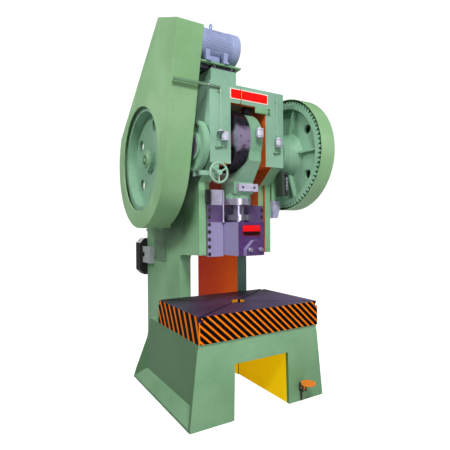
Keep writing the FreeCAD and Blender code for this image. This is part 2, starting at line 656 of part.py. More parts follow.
def tooth_outline(teeth, backlash, first_angle):
    """Corners of a spur gear's outline: two involute flanks and a flat tip to each tooth."""
    module = value("gear_module")
    pitch = module * teeth / 2
    base = pitch * math.cos(math.radians(20))
    tip = pitch + module
    root = pitch - 1.25 * module
    start = max(root, base)
    flank_steps = 3
    half_tooth = (math.pi * module / 2 - backlash) / pitch / 2

    def involute(radius):
        roll = math.sqrt(max((radius / base) ** 2 - 1, 0))
        return roll - math.atan(roll)

    points = []
    for number in range(teeth):
        middle = first_angle + 2 * math.pi * number / teeth
        radii = [start + (tip - start) * step / flank_steps
                 for step in range(flank_steps + 1)]
        offsets = [half_tooth + involute(pitch) - involute(radius) for radius in radii]
        flank = list(zip(radii, offsets))
        if root < base:
            flank.insert(0, (root, offsets[0]))
        rising = [(radius, middle - offset) for radius, offset in flank]
        falling = [(radius, middle + offset) for radius, offset in reversed(flank)]
        points += [(radius * math.cos(angle), radius * math.sin(angle))
                   for radius, angle in rising + falling]
    return points


def toothed_disc(label, teeth, first_angle, spot, length):
    """A disc cut with gear teeth, its axis along X, placed after its shape is set."""
    item = new("Part::Feature", label)
    corners = [Vector(0, across, up)
               for across, up in tooth_outline(teeth, value("gear_backlash") / 2, first_angle)]
    face = Part.Face(Part.makePolygon(corners + corners[:1]))
    item.Shape = face.extrude(Vector(value(length), 0, 0))
    return place(item, spot)


def build_gears():
    """Bull gear with web, ribs and holes, and the pinion on the back shaft."""
    toward = math.atan2(-value("shaft_drop"), value(SHAFT_BACK))
    teeth = int(value("gear_teeth"))
    small = int(value("pinion_teeth"))
    wide = "gear_right - gear_left"
    blank = toothed_disc("gear_blank", teeth, toward, ("gear_left", "0", "crank_high"), wide)
    rim = "gear_module * gear_teeth / 2 - rim_depth"
    front_dish = rod("gear_front_dish", "X", rim, ("gear_left", "0", "crank_high"),
                     "(%s - gear_web) / 2" % wide)
    back_dish = rod("gear_back_dish", "X", rim,
                    ("gear_right - (%s - gear_web) / 2" % wide, "0", "crank_high"),
                    "(%s - gear_web) / 2" % wide)
    hub = rod("gear_hub_blank", "X", "gear_hub", ("hub_left", "0", "crank_high"),
              "gear_right - hub_left")
    flare = new("Part::Cone", "gear_hub_flare")
    flare.Placement = Placement(Vector(), TURNS["X"])
    bind(flare, "Radius1", "gear_hub - 1")
    bind(flare, "Radius2", "gear_hub + hub_flare")
    bind(flare, "Height", "(gear_left + gear_right) / 2 - hub_left - flare_start")
    place(flare, ("hub_left + flare_start", "0", "crank_high"))
    ribs = []
    for number in range(5):
        rib = new("Part::Box", "gear_rib_%d" % number)
        angle = 180 + 72 * number
        rib.Placement = Placement(Vector(), Rotation(Vector(1, 0, 0), angle))
        bind(rib, "Length", "%s - gear_web" % wide)
        bind(rib, "Width", rim + " + rim_depth / 4")
        bind(rib, "Height", "gear_rib")
        place(rib, ("gear_left + gear_web / 2",
                    "gear_rib / 2 * sin(%d)" % angle,
                    "crank_high - gear_rib / 2 * cos(%d)" % angle))
        ribs.append(rib)
    bore = rod("gear_bore", "X", "journal_radius + running_gap",
               ("hub_left", "0", "crank_high"), "gear_right - hub_left")
    holes = []
    for number in range(5):
        angle = 144 + 72 * number
        holes.append(rod("gear_hole_%d" % number, "X", "gear_hole",
                         ("gear_left", "gear_hole_ring * cos(%d)" % angle,
                          "crank_high + gear_hole_ring * sin(%d)" % angle), wide))
    dished = cut("gear_dished", blank, front_dish, back_dish)
    solid = join("gear_solid", dished, hub, flare, *ribs)
    keep("bull_gear", cut("bull_gear", solid, bore, *holes))

    half_space = math.pi / small
    away = toward + math.pi + half_space
    pinion = toothed_disc("pinion_blank", small, away,
                          ("gear_left", SHAFT_BACK, SHAFT_HIGH), wide)
    hole = rod("pinion_bore", "X", "back_shaft_radius", ("gear_left", SHAFT_BACK, SHAFT_HIGH),
               wide)
    keep("pinion", cut("pinion", pinion, hole))
    keep("back_shaft", rod("back_shaft", "X", "back_shaft_radius",
                           ("back_shaft_left", SHAFT_BACK, SHAFT_HIGH),
                           "back_shaft_right - back_shaft_left"))


def build_gear_guard():
    """Drum round the gear and the pinion, open toward the frame, on two welded lugs."""
    big = "gear_module * (gear_teeth / 2 + 1) + gear_guard_gap"
    small = "gear_module * (pinion_teeth / 2 + 1) + pinion_guard_gap"
    start = "gear_guard_left"
    long = "gear_guard_right - gear_guard_left"
    inner_long = long + " - guard_sheet"
    outer = join("gear_guard_outer",
                 rod("guard_drum", "X", big + " + guard_sheet",
                     (start, "0", "crank_high"), long),
                 rod("guard_nose", "X", small + " + guard_sheet",
                     (start, SHAFT_BACK, SHAFT_HIGH), long))
    inner = join("gear_guard_inner",
                 rod("guard_drum_room", "X", big, (start, "0", "crank_high"), inner_long),
                 rod("guard_nose_room", "X", small, (start, SHAFT_BACK, SHAFT_HIGH),
                     inner_long))
    hole = rod("guard_end_hole", "X", "retainer_radius + gear_guard_gap",
               (start, "0", "crank_high"), long)
    shell = cut("gear_guard_shell", outer, inner, hole)
    lugs = []
    for name, angle in (("upper", 52), ("lower", -65)):
        across = "(%s + guard_sheet / 2) * cos(%d)" % (big, angle)
        level = "crank_high + (%s + guard_sheet / 2) * sin(%d)" % (big, angle)
        rise = "0" if angle > 0 else "-lug_thick"
        lugs.append(box("gear_guard_lug_" + name, (FRAME_OUT, start + " + lug_wide"),
                        (across + " - lug_wide / 2", across + " + lug_wide / 2"),
                        ("%s + %s" % (level, rise), "%s + %s + lug_thick" % (level, rise))))
    keep("gear_guard", join("gear_guard", shell, *lugs))


# ---------------------------------------------------------------- flywheel, belts and guard

def build_flywheel():
    """Flywheel with its grooveless rim, set-back web, holes and hub."""
    wide = "flywheel_right - flywheel_left"
    spot = ("flywheel_left", SHAFT_BACK, SHAFT_HIGH)
    rim = ring("flywheel_rim_ring", "X", "flywheel_radius", "flywheel_radius - flywheel_rim",
               spot, wide)
    web = rod("flywheel_web_disc", "X", "flywheel_radius - flywheel_rim / 2",
              ("flywheel_left + web_set_back", SHAFT_BACK, SHAFT_HIGH), "flywheel_web")
    hub = rod("flywheel_hub_boss", "X", "flywheel_hub",
              ("flywheel_left + hub_set_back", SHAFT_BACK, SHAFT_HIGH),
              wide + " - hub_set_back")
    tools = [rod("flywheel_bore", "X", "back_shaft_radius", spot, wide)]
    for number in range(5):
        angle = 33 + 72 * number
        tools.append(rod("flywheel_hole_%d" % number, "X", "flywheel_hole",
                         ("flywheel_left",
                          "%s + flywheel_hole_ring * cos(%d)" % (SHAFT_BACK, angle),
                          "%s + flywheel_hole_ring * sin(%d)" % (SHAFT_HIGH, angle)), wide))
    keep("flywheel", cut("flywheel", join("flywheel_blank", rim, web, hub), *tools))


def tangent_band(big, small, spot_big, spot_small):
    """Face bounded by a belt round two circles: two arcs and two tangent lines."""
    span = spot_small - spot_big
    along = span / span.Length
    across = Vector(0, -along.z, along.y)
    lean = (big - small) / span.Length
    side = math.sqrt(1 - lean ** 2)
    ends = []
    for hand in (1, -1):
        normal = along * lean + across * (side * hand)
        ends.append((spot_big + normal * big, spot_small + normal * small))
    far_big = spot_big - along * big
    far_small = spot_small + along * small
    edges = [
        Part.LineSegment(ends[0][0], ends[0][1]).toShape(),
        Part.Arc(ends[0][1], far_small, ends[1][1]).toShape(),
        Part.LineSegment(ends[1][1], ends[1][0]).toShape(),
        Part.Arc(ends[1][0], far_big, ends[0][0]).toShape(),
    ]
    return Part.Face(Part.Wire(edges))


def build_belts():
    """Closed V-belts from the motor pulley to the flywheel."""
    gap = value("running_gap")
    thick = value("belt_thick")
    wheel = Vector(0, value(SHAFT_BACK), value(SHAFT_HIGH))
    motor = Vector(0, value("motor_back"), value("motor_high"))
    big = value("flywheel_radius") + gap
    small = value("pulley_radius") + gap
    belts = []
    for number in range(int(value("belt_count"))):
        middle = value("flywheel_left + flywheel_right") / 2
        shift = (number - (value("belt_count") - 1) / 2) * value("belt_pitch")
        start = middle + shift - value("belt_wide") / 2
        outer = tangent_band(big + thick, small + thick, wheel, motor)
        inner = tangent_band(big, small, wheel, motor)
        push = Vector(value("belt_wide"), 0, 0)
        belt = outer.extrude(push).cut(inner.extrude(push))
        belt.translate(Vector(start, 0, 0))
        belts.append(belt)
    item = new("Part::Feature", "v_belts")
    item.Shape = Part.makeCompound(belts)
    item.Placement = Placement()
    keep("v_belts", item)


def build_belt_guard():
    """Sheet guard round flywheel and pulley: tangent front line, knee and sloping top."""
    body = new("PartDesign::Body", "guard_body")
    sketch = body.newObject("Sketcher::SketchObject", "guard_outline")
    sketch.AttachmentSupport = [(origin_plane(body, "YZ_Plane"), "")]
    sketch.MapMode = "FlatFace"
    bind(sketch, "AttachmentOffset.Base.z", "guard_left")
    radius = value("guard_radius")
    middle = Vector(value(SHAFT_BACK), value(SHAFT_HIGH), 0)
    tip = Vector(value("guard_tip_front"), value("guard_tip_low"), 0)
    peak = Vector(value("guard_tip_back"), value("guard_tip_high"), 0)
    rise = value("guard_knee_high") - middle.y
    knee = Vector(middle.x + math.sqrt(radius ** 2 - rise ** 2), middle.y + rise, 0)
    away = tip - middle
    reach = math.acos(radius / away.Length)
    start_angle = math.atan2(away.y, away.x) + reach
    foot = middle + Vector(math.cos(start_angle), math.sin(start_angle), 0) * radius
    end_angle = math.atan2(knee.y - middle.y, knee.x - middle.x) + 2 * math.pi
    front = sketch.addGeometry(Part.LineSegment(tip, foot))
    arc = sketch.addGeometry(Part.ArcOfCircle(
        Part.Circle(middle, Vector(0, 0, 1), radius), start_angle, end_angle))
    back = sketch.addGeometry(Part.LineSegment(knee, peak))
    top = sketch.addGeometry(Part.LineSegment(peak, tip))
    sketch.addConstraint(Sketcher.Constraint("Tangent", front, 2, arc, 1))
    for first, second in ((arc, back), (back, top), (top, front)):
        sketch.addConstraint(Sketcher.Constraint("Coincident", first, 2, second, 1))
    pin_point(sketch, arc, 3, (SHAFT_BACK, SHAFT_HIGH))
    pin_point(sketch, front, 1, ("guard_tip_front", "guard_tip_low"))
    pin_point(sketch, top, 1, ("guard_tip_back", "guard_tip_high"))
    number = sketch.addConstraint(Sketcher.Constraint("Radius", arc, radius))
    bind(sketch, "Constraints[%d]" % number, "guard_radius")
    number = sketch.addConstraint(
        Sketcher.Constraint("DistanceY", -1, 1, back, 1, value("guard_knee_high")))
    bind(sketch, "Constraints[%d]" % number, "guard_knee_high")
    pad = body.newObject("PartDesign::Pad", "guard_pad")
    pad.Profile = sketch
    bind(pad, "Length", "guard_right - guard_left")
    doc.recompute()
    inner_side = value("guard_right")
    faces = ["Face%d" % (index + 1) for index, face in enumerate(pad.Shape.Faces)
             if abs(face.CenterOfMass.x - inner_side) < 0.01]
    shell = body.newObject("PartDesign::Thickness", "guard_shell")
    shell.Base = (pad, faces)
    bind(shell, "Value", "guard_sheet")
    shell.Reversed = True
    body.Tip = shell
    window = rod("guard_window", "X", "guard_hole", ("guard_left", SHAFT_BACK, SHAFT_HIGH),
                 "guard_sheet")
    lugs = []
    for name, angle in (("back", -30), ("front", -88)):
        across = "%s + (guard_radius - guard_sheet / 2) * cos(%d)" % (SHAFT_BACK, angle)
        level = "%s + (guard_radius - guard_sheet / 2) * sin(%d)" % (SHAFT_HIGH, angle)
        lugs.append(box("belt_guard_lug_" + name,
                        ("guard_right - lug_wide", "-" + FRAME_OUT),
                        (across + " - lug_wide / 2", across + " + lug_wide / 2"),
                        (level, level + " + lug_thick")))
    keep("belt_guard", join("belt_guard", cut("guard_windowed", body, window), *lugs))
    keep("guard_bar", box("guard_bar", ("guard_left", "bar_right"),
                          ("housing_front - bar_thick", "housing_front"),
                          ("bar_low", "bar_high")))


# ---------------------------------------------------------------- motor

def build_motor():
    """Motor with cowl, shaft, pulley, base plate and adjusting screws."""
    axis = ("motor_back", "motor_high")
    barrel = rod("motor_barrel", "X", "motor_radius", ("motor_left",) + axis,
                 "motor_right - motor_left")
    feet = []
    top = "motor_plate_low + motor_plate_thick"
    for sign, hand in ((-1, "front"), (1, "back")):
        middle = "motor_back + %d * foot_spread / 2" % sign
        for end, spot in (("left", "motor_left + foot_wide"), ("right", "motor_right - foot_wide * 2")):
            name = "motor_foot_%s_%s" % (hand, end)
            feet.append(box(name, (spot, spot + " + foot_wide"),
                            (middle + " - foot_wide / 2", middle + " + foot_wide / 2"),
                            (top, top + " + foot_thick")))
            inward = "motor_back + %d * (foot_spread / 2 - foot_wide)" % sign
            low, high = (inward, middle) if sign > 0 else (middle, inward)
            feet.append(box(name + "_web", (spot, spot + " + foot_wide"), (low, high),
                            (top, "motor_high - motor_radius * 0.55")))
    box_seat = box("terminal_box", ("motor_left + foot_wide * 2", "motor_right - foot_wide * 2"),
                   ("motor_back + motor_radius * 0.8", "motor_back + motor_radius * 1.5"),
                   ("motor_high - foot_wide", "motor_high + foot_wide"))
    keep("motor_body", join("motor_body", barrel, box_seat, *feet))
    keep("motor_fan_cowl", rod("motor_fan_cowl", "X", "cowl_radius", ("motor_right",) + axis,
                               "cowl_right - motor_right"))
    keep("motor_plate", box("motor_plate", ("motor_plate_left", "motor_plate_right"),
                            ("motor_plate_front", "motor_plate_back"),
                            ("motor_plate_low", top)))
    screws = []
    middle = "(seat_left + seat_right) / 2"
    for across_sign in (-1, 1):
        for along_sign in (-1, 1):
            name = "adjuster_%d_%d" % (across_sign + 1, along_sign + 1)
            across = "%s + %d * adjuster_spread / 2" % (middle, across_sign)
            along = "motor_back + %d * adjuster_depth / 2" % along_sign
            screw = rod(name + "_screw", "Z", "adjuster_radius", (across, along, "seat_top"),
                        "motor_plate_low - seat_top")
            nut = new("Part::Prism", name + "_nut")
            nut.Polygon = 6
            bind(nut, "Circumradius", "adjuster_nut")
            bind(nut, "Height", "nut_high")
            place(nut, (across, along, "motor_plate_low - nut_high"))
            screws.append(join(name, screw, nut))
    keep("motor_adjusters", group("motor_adjusters", *screws))
    keep("motor_shaft", rod("motor_shaft", "X", "motor_shaft_radius",
                            ("flywheel_left",) + axis,
                            "motor_left - running_gap - flywheel_left"))
    start = "(flywheel_left + flywheel_right - pulley_wide) / 2"
    keep("motor_pulley", ring("motor_pulley", "X", "pulley_radius", "motor_shaft_radius",
                              (start,) + axis, "pulley_wide"))


# ---------------------------------------------------------------- small pieces

def build_oil_cups():
    """Upright oil cups: one on each housing and one on the rod's cap."""
    def cup(label, across, face, low):
        middle = "(%s) - oil_cup_radius - oil_cup_shift / 3" % face
        jar = rod(label + "_jar", "Z", "oil_cup_radius", (across, middle, low), "oil_cup_tall")
        stem = rod(label + "_stem", "Y", "oil_stem_radius",
                   (across, middle, low + " + oil_cup_tall / 3"),
                   "oil_cup_radius + oil_cup_shift / 3")
        return join(label, jar, stem)

    cups = [cup("housing_cup_%d" % (sign + 1), "oil_cup_shift + %d * oil_cup_spread / 2" % sign,
                "housing_front", "oil_cup_high") for sign in (-1, 1)]
    keep("oil_cups", group("oil_cups", *cups))
    rise = "(oil_cup_tall / 3)"
    keep("rod_oil_cup", cup("rod_oil_cup", "(strap_left + strap_right + oil_cup_shift) / 2",
                            "-sqrt(strap_radius ^ 2 - %s ^ 2) - running_gap" % rise, PIN_HIGH))


def build_handwheel():
    """Three-spoked handwheel on a bracket under the left housing."""
    across = "wheel_across"
    column = box("bracket_column", (across + " - bracket_half", across + " + bracket_half"),
                 ("housing_front", "housing_front + bracket_thick"),
                 ("wheel_high - bracket_foot", "housing_low"))
    arm = box("bracket_arm", ("bracket_left", across),
              ("housing_front", "housing_front + bracket_thick"),
              ("wheel_high - arm_high / 2", "wheel_high + arm_high / 2"))
    hole = rod("bracket_hole", "Y", "wheel_shaft + running_gap",
               (across, "housing_front", "wheel_high"), "bracket_thick")
    keep("handwheel_bracket", cut("handwheel_bracket", join("bracket_blank", column, arm), hole))
    spot = (across, "wheel_front", "wheel_high")
    rim = new("Part::Torus", "wheel_rim_ring")
    rim.Placement = Placement(Vector(), TURNS["Y"])
    bind(rim, "Radius1", "wheel_radius")
    bind(rim, "Radius2", "wheel_rim")
    place(rim, spot)
    hub = rod("wheel_hub_boss", "Y", "wheel_hub",
              (across, "wheel_front - wheel_hub_long / 2", "wheel_high"), "wheel_hub_long")
    shaft = rod("wheel_spindle", "Y", "wheel_shaft", (across, "wheel_front", "wheel_high"),
                "housing_front + bracket_thick - wheel_front")
    spokes = []
    for number in range(3):
        angle = 30 + 120 * number
        spoke = new("Part::Cylinder", "wheel_spoke_%d" % number)
        direction = Vector(math.cos(math.radians(angle)), 0, math.sin(math.radians(angle)))
        spoke.Placement = Placement(Vector(), Rotation(Vector(0, 0, 1), direction))
        bind(spoke, "Radius", "spoke_radius")
        bind(spoke, "Height", "wheel_radius")
        spokes.append(place(spoke, spot))
    keep("handwheel", join("handwheel", rim, hub, shaft, *spokes))


def build_trip():
    """Cover of the clutch pull rod and tapered latch box beside the right frame."""
    keep("clutch_rod_cover", box("clutch_rod_cover", ("trip_left", "trip_left + trip_rod_wide"),
                                ("trip_rod_front", "trip_rod_front + trip_rod_thick"),
                                ("trip_rod_low", "trip_rod_high")))
    wide = "box_wide"
    points = [
        ("trip_left", "box_low"), ("trip_left + %s - box_taper" % wide, "box_low"),
        ("trip_left + %s" % wide, "trip_rod_low - box_straight"),
        ("trip_left + %s" % wide, "trip_rod_low - running_gap"),
        (FRAME_OUT, "trip_rod_low - running_gap"), (FRAME_OUT, "box_low"),
    ]
    keep("clutch_latch_box", plate("clutch_latch_box", "XZ_Plane", points, "box_front",
                                   "box_deep"))


def build_pedal():
    """Foot pedal in a fork on the base's front plate."""
    face = "base_front"
    across = "pedal_across"
    low = "pedal_high - pedal_drop - ear_tall / 2"
    high = "pedal_high - pedal_drop + ear_tall / 2"
    ears = []
    for sign, hand in ((-1, "left"), (1, "right")):
        inner = "%s + %d * ear_gap / 2" % (across, sign)
        outer = "%s + %d * (ear_gap / 2 + ear_thick)" % (across, sign)
        span = (outer, inner) if sign < 0 else (inner, outer)
        ears.append(box("pedal_ear_" + hand, span, (face + " - ear_long", face), (low, high)))
    reach = "(ear_gap / 2 + ear_thick)"
    back = box("pedal_back_plate", ("%s - %s" % (across, reach), "%s + %s" % (across, reach)),
               (face + " - ear_thick", face), (low, high))
    pivot_along = face + " - ear_long * 0.62"
    pivot_high = "pedal_high - pedal_drop"
    hole = rod("pedal_ear_hole", "X", "pedal_pin + running_gap",
               ("%s - %s" % (across, reach), pivot_along, pivot_high), "2 * " + reach)
    keep("pedal_bracket", cut("pedal_bracket", join("pedal_fork", back, *ears), hole))
    pad_along = "%s - pedal_reach" % face
    pad = rod("pedal_pad", "Z", "pedal_radius", (across, pad_along, "pedal_high"), "pedal_thick")
    arm_half = "pedal_arm_wide / 2"
    post = box("pedal_post", ("%s - %s" % (across, arm_half), "%s + %s" % (across, arm_half)),
               (pivot_along + " - pedal_arm_thick", pivot_along + " + pedal_arm_thick"),
               (pivot_high + " - pedal_arm_thick", "pedal_high"))
    pin = rod("pedal_pivot", "X", "pedal_pin",
              ("%s - %s" % (across, reach), pivot_along, pivot_high), "2 * " + reach)
    keep("foot_pedal", join("foot_pedal", pad, post, pin))


def build_electrics():
    """Cabinet with its door on the column's back, and the isolator on its side."""
    left, right = "cabinet_left", "cabinet_right"
    low, high, chamfer = "cabinet_low", "cabinet_high", "cabinet_chamfer"
    points = [
        (left, low + " + " + chamfer), (left + " + " + chamfer, low), (right, low),
        (right, high), (left + " + " + chamfer, high), (left, high + " - " + chamfer),
    ]
    keep("control_cabinet", plate("control_cabinet", "XZ_Plane", points, "frame_back",
                                  "cabinet_deep"))
    face = "frame_back + cabinet_deep + running_gap"
    door = plate("door_leaf", "XZ_Plane", points, face, "door_thick")
    knuckle = rod("door_knuckle", "Z", "hinge_radius",
                  (right + " + hinge_radius", face + " + door_thick / 2", low),
                  "cabinet_high - cabinet_low")
    web = box("door_web", (right + " - hinge_radius", right + " + hinge_radius"),
              (face, face + " + door_thick"), (low, high))
    keep("cabinet_door", join("cabinet_door", door, web, knuckle))
    side = "-" + FRAME_OUT
    keep("isolator_box", box("isolator_box", (side + " - isolator_deep", side),
                             ("isolator_front", "isolator_back"),
                             ("isolator_low", "isolator_high")))
    knob_along = "isolator_back - knob_radius * 1.6"
    knob_high = "(isolator_low + isolator_high) / 2"
    outer = side + " - isolator_deep"
    disc = rod("knob_disc", "X", "knob_radius",
               (outer + " - running_gap - knob_deep / 2", knob_along, knob_high),
               "knob_deep / 2")
    grip = box("knob_grip", (outer + " - running_gap - knob_deep",
                             outer + " - running_gap - knob_deep / 2"),
               (knob_along + " - spoke_radius", knob_along + " + spoke_radius"),
               (knob_high + " - knob_radius", knob_high + " + knob_radius"))
    keep("isolator_knob", join("isolator_knob", disc, grip))


def build_all():
    """Build every sub-part in turn."""
    for build in (build_base, build_bolster, build_side_frames, build_head, build_bushes,
                  build_crank, build_brake_band, build_rod, build_slide, build_guides,
                  build_gears, build_gear_guard, build_flywheel, build_belts,
                  build_belt_guard, build_motor, build_oil_cups, build_handwheel,
                  build_trip, build_pedal, build_electrics):
        build()
    doc.recompute()


def export_all():
    """Check every object and shape, then write one STEP file for each sub-part."""
    faults = []
    for item in doc.Objects:
        if "Invalid" in item.State or "Error" in item.State:
            faults.append("%s: %s" % (item.Label, item.State))
    for node, item in parts.items():
        if item.Shape.isNull() or not item.Shape.isValid() or not item.Shape.Solids:
            faults.append("%s: shape" % node)
    if faults:
        raise RuntimeError("; ".join(faults))
    os.makedirs("parts", exist_ok=True)
    for node, item in parts.items():
        item.Shape.exportStep("parts/%s.step" % node)
    print("wrote %d parts" % len(parts))


build_all()
export_all()
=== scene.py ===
"""Finishes and fittings of a geared C-frame stamping press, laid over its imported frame.

Lengths are metres. +X is the machine's right seen by the operator, +Y its back and +Z up.
"""
import logging
import math
from collections.abc import Callable, Iterable, Mapping, Sequence
from dataclasses import dataclass
from enum import Enum
from typing import Any

import bmesh
import bpy
from mathutils import Matrix, Vector


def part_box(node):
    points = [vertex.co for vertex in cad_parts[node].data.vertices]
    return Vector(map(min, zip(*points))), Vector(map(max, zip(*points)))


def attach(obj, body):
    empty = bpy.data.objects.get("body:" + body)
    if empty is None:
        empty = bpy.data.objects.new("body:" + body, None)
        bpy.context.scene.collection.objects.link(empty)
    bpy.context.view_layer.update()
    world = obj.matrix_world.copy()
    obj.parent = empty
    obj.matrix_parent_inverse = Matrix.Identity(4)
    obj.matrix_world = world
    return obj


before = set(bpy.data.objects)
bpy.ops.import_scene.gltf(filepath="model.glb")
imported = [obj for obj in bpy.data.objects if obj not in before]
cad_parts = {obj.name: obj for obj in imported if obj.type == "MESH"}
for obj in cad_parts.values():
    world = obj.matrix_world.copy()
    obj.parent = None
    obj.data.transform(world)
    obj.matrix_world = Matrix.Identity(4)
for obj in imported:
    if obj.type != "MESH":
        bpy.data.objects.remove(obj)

LOG = logging.getLogger("press")
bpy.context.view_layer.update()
NODES: dict[str, bpy.types.Object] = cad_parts
FACING = 0.6  # a face looks along an axis when its normal has more than this share of it
BED_TOP = 0.405

Colour = tuple[float, float, float]
Point = tuple[float, float, float]
Piece = bpy.types.Object
Material = bpy.types.Material


class Axis(Enum):
    """Row axes, each with its unit vector."""

    X = (1.0, 0.0, 0.0)
    Y = (0.0, 1.0, 0.0)
    Z = (0.0, 0.0, 1.0)

    @property
    def vector(self) -> Vector:
        """The axis as a vector."""
        return Vector(self.value)


class Inside(Enum):
    """What colour the faces between the two side plates carry."""

    NONE = 0
    ORANGE = 1
    YELLOW = 2


class Grain(Enum):
    """How steel was worked: the detail of its marks, and their number along each axis."""

    GROUND = (3, (900, 40, 40))
    TURNED_X = (3, (900, 6, 6))
    TURNED_Z = (3, (6, 6, 900))
    SAWN = (4, (60, 60, 700))


def srgb(red: int, green: int, blue: int) -> Colour:
    """Scene-linear colour of a paint named by its three 8-bit display values."""
    def linear(level: int) -> float:
        share = level / 255
        return share / 12.92 if share <= 0.04045 else ((share + 0.055) / 1.055) ** 2.4
    return linear(red), linear(green), linear(blue)


# ---------------------------------------------------------------- shader maths
def arithmetic(operation: str, flipped: bool = False) -> Callable[..., "Value"]:
    """A method that joins a value and one other term by a Math node.

    Args:
        operation: the Math node's operation.
        flipped: whether the other term comes first.

    Returns:
        The method; operations on one term leave the other out.
    """
    def method(self: "Value", other: Any = 0.0) -> "Value":
        terms = (other, self) if flipped else (self, other)
        return self.shader.node("ShaderNodeMath", {"operation": operation},
                                dict(enumerate(terms)))
    return method


class Value:
    """One shader socket; arithmetic on it adds Math nodes.

    over and under are 1 where the test holds, else 0. size is the absolute value, sign is
    -1, 0 or 1, and cycle is the fraction left after the whole part is taken away.
    """

    __add__ = __radd__ = arithmetic("ADD")
    __sub__ = arithmetic("SUBTRACT")
    __rsub__ = arithmetic("SUBTRACT", flipped=True)
    __mul__ = __rmul__ = arithmetic("MULTIPLY")
    __truediv__ = arithmetic("DIVIDE")
    __pow__ = arithmetic("POWER")
    over = arithmetic("GREATER_THAN")
    under = arithmetic("LESS_THAN")
    size = arithmetic("ABSOLUTE")
    sign = arithmetic("SIGN")
    cycle = arithmetic("FRACT")

    def __init__(self, shader: "Shader", socket: bpy.types.NodeSocket) -> None:
        """Wrap the output socket that carries the number, and keep the shader it is in."""
        self.shader = shader
        self.socket = socket

    def within(self, low: float, high: float) -> "Value":
        """1 between the two limits, else 0."""
        return self.over(low) * self.under(high)

    def clamp(self) -> "Value":
        """Limited to 0..1."""
        return self.shader.node("ShaderNodeClamp", {}, {0: self, 1: 0.0, 2: 1.0})

    def spread(self, low: float, high: float) -> "Value":
        """Stretch the part between low and high to 0..1, smoothly, and clamp the rest."""
        return self.shader.node(
            "ShaderNodeMapRange", {"interpolation_type": "SMOOTHSTEP"},
            {0: self, 1: low, 2: high, 3: 0.0, 4: 1.0})


class Shader:
    """A material under construction, with one way to add any node."""

    def __init__(self, name: str) -> None:
        """Start an empty material with object-space position and normal ready."""
        self.material = bpy.data.materials.new(name)
        self.material.use_nodes = True
        self.tree = self.material.node_tree
        self.tree.nodes.clear()
        self.place = self.node("ShaderNodeTexCoord", output="Object")
        facing = self.node("ShaderNodeTexCoord", output="Normal")
        self.x, self.y, self.z = self.split(self.place)
        self.face_x, self.face_y, self.face_z = self.split(facing)

    def node(self, kind: str, settings: Mapping[str, Any] | None = None,
             inputs: Mapping[Any, Any] | None = None, output: Any = 0) -> Value:
        """Add any node.

        Args:
            kind: the node's type name.
            settings: its own properties, set first.
            inputs: values or links by input index or name.
            output: index or name of the output to return.

        Returns:
            The chosen output.
        """
        made = self.tree.nodes.new(kind)
        for key, setting in (settings or {}).items():
            setattr(made, key, setting)
        for key, term in (inputs or {}).items():
            if isinstance(term, Value):
                self.tree.links.new(term.socket, made.inputs[key])
            elif isinstance(term, tuple) and made.inputs[key].type == "RGBA":
                made.inputs[key].default_value = (*term, 1.0)
            else:
                made.inputs[key].default_value = term
        return Value(self, made.outputs[output])

    def split(self, vector: Value) -> tuple[Value, ...]:
        """The three components of a vector."""
        first = self.node("ShaderNodeSeparateXYZ", {}, {0: vector})
        return tuple(Value(self, output) for output in first.socket.node.outputs)

    def noise(self, scale: float, detail: float = 3.0, stretch: Point = (1, 1, 1)) -> Value:
        """Noise of a given scale per metre, squeezed along the axes by stretch."""
        spot = self.node("ShaderNodeMapping", {}, {"Vector": self.place, "Scale": stretch})
        return self.node("ShaderNodeTexNoise", {},
                         {"Vector": spot, "Scale": scale, "Detail": detail})

    def mix(self, share: Any, first: Any, second: Any) -> Value:
        """Blend two colours; a share of 0 gives the first."""
        return self.node("ShaderNodeMix", {"data_type": "RGBA"},
                         {0: share, 6: first, 7: second}, output=2)

    def shade(self, share: Any, colour: Any, level: Any) -> Value:
        """Multiply a colour by a grey level, by share."""
        grey = self.node("ShaderNodeCombineColor", {}, {0: level, 1: level, 2: level})
        return self.node("ShaderNodeMix", {"data_type": "RGBA", "blend_type": "MULTIPLY"},
                         {0: share, 6: colour, 7: grey}, output=2)

    def edges(self, width: float) -> tuple[Value, Value]:
        """Rounded normal, and a mask that is 1 on sharp edges, both of the given width."""
        soft = self.node("ShaderNodeBevel", {"samples": 4}, {"Radius": width})
        true = self.node("ShaderNodeNewGeometry", output="Normal")
        likeness = self.node("ShaderNodeVectorMath", {"operation": "DOT_PRODUCT"},
                             {0: soft, 1: true}, output="Value")
        return soft, (1 - likeness).spread(0.02, 0.22)

    def bump(self, height: Value, strength: float, depth: float,
             normal: Value | None = None) -> Value:
        """Bump from a height, over an optional base normal."""
        inputs = {"Strength": strength, "Distance": depth, "Height": height}
        if normal is not None:
            inputs["Normal"] = normal
        return self.node("ShaderNodeBump", {}, inputs)

    def finish(self, **sockets: Any) -> Material:
        """Close the shader with a Principled BSDF and return the material."""
        names = {key.replace("_", " ").title().replace("Ior", "IOR"): term
                 for key, term in sockets.items()}
        surface = self.node("ShaderNodeBsdfPrincipled", {}, names)
        end = self.tree.nodes.new("ShaderNodeOutputMaterial")
        self.tree.links.new(surface.socket, end.inputs["Surface"])
        return self.material


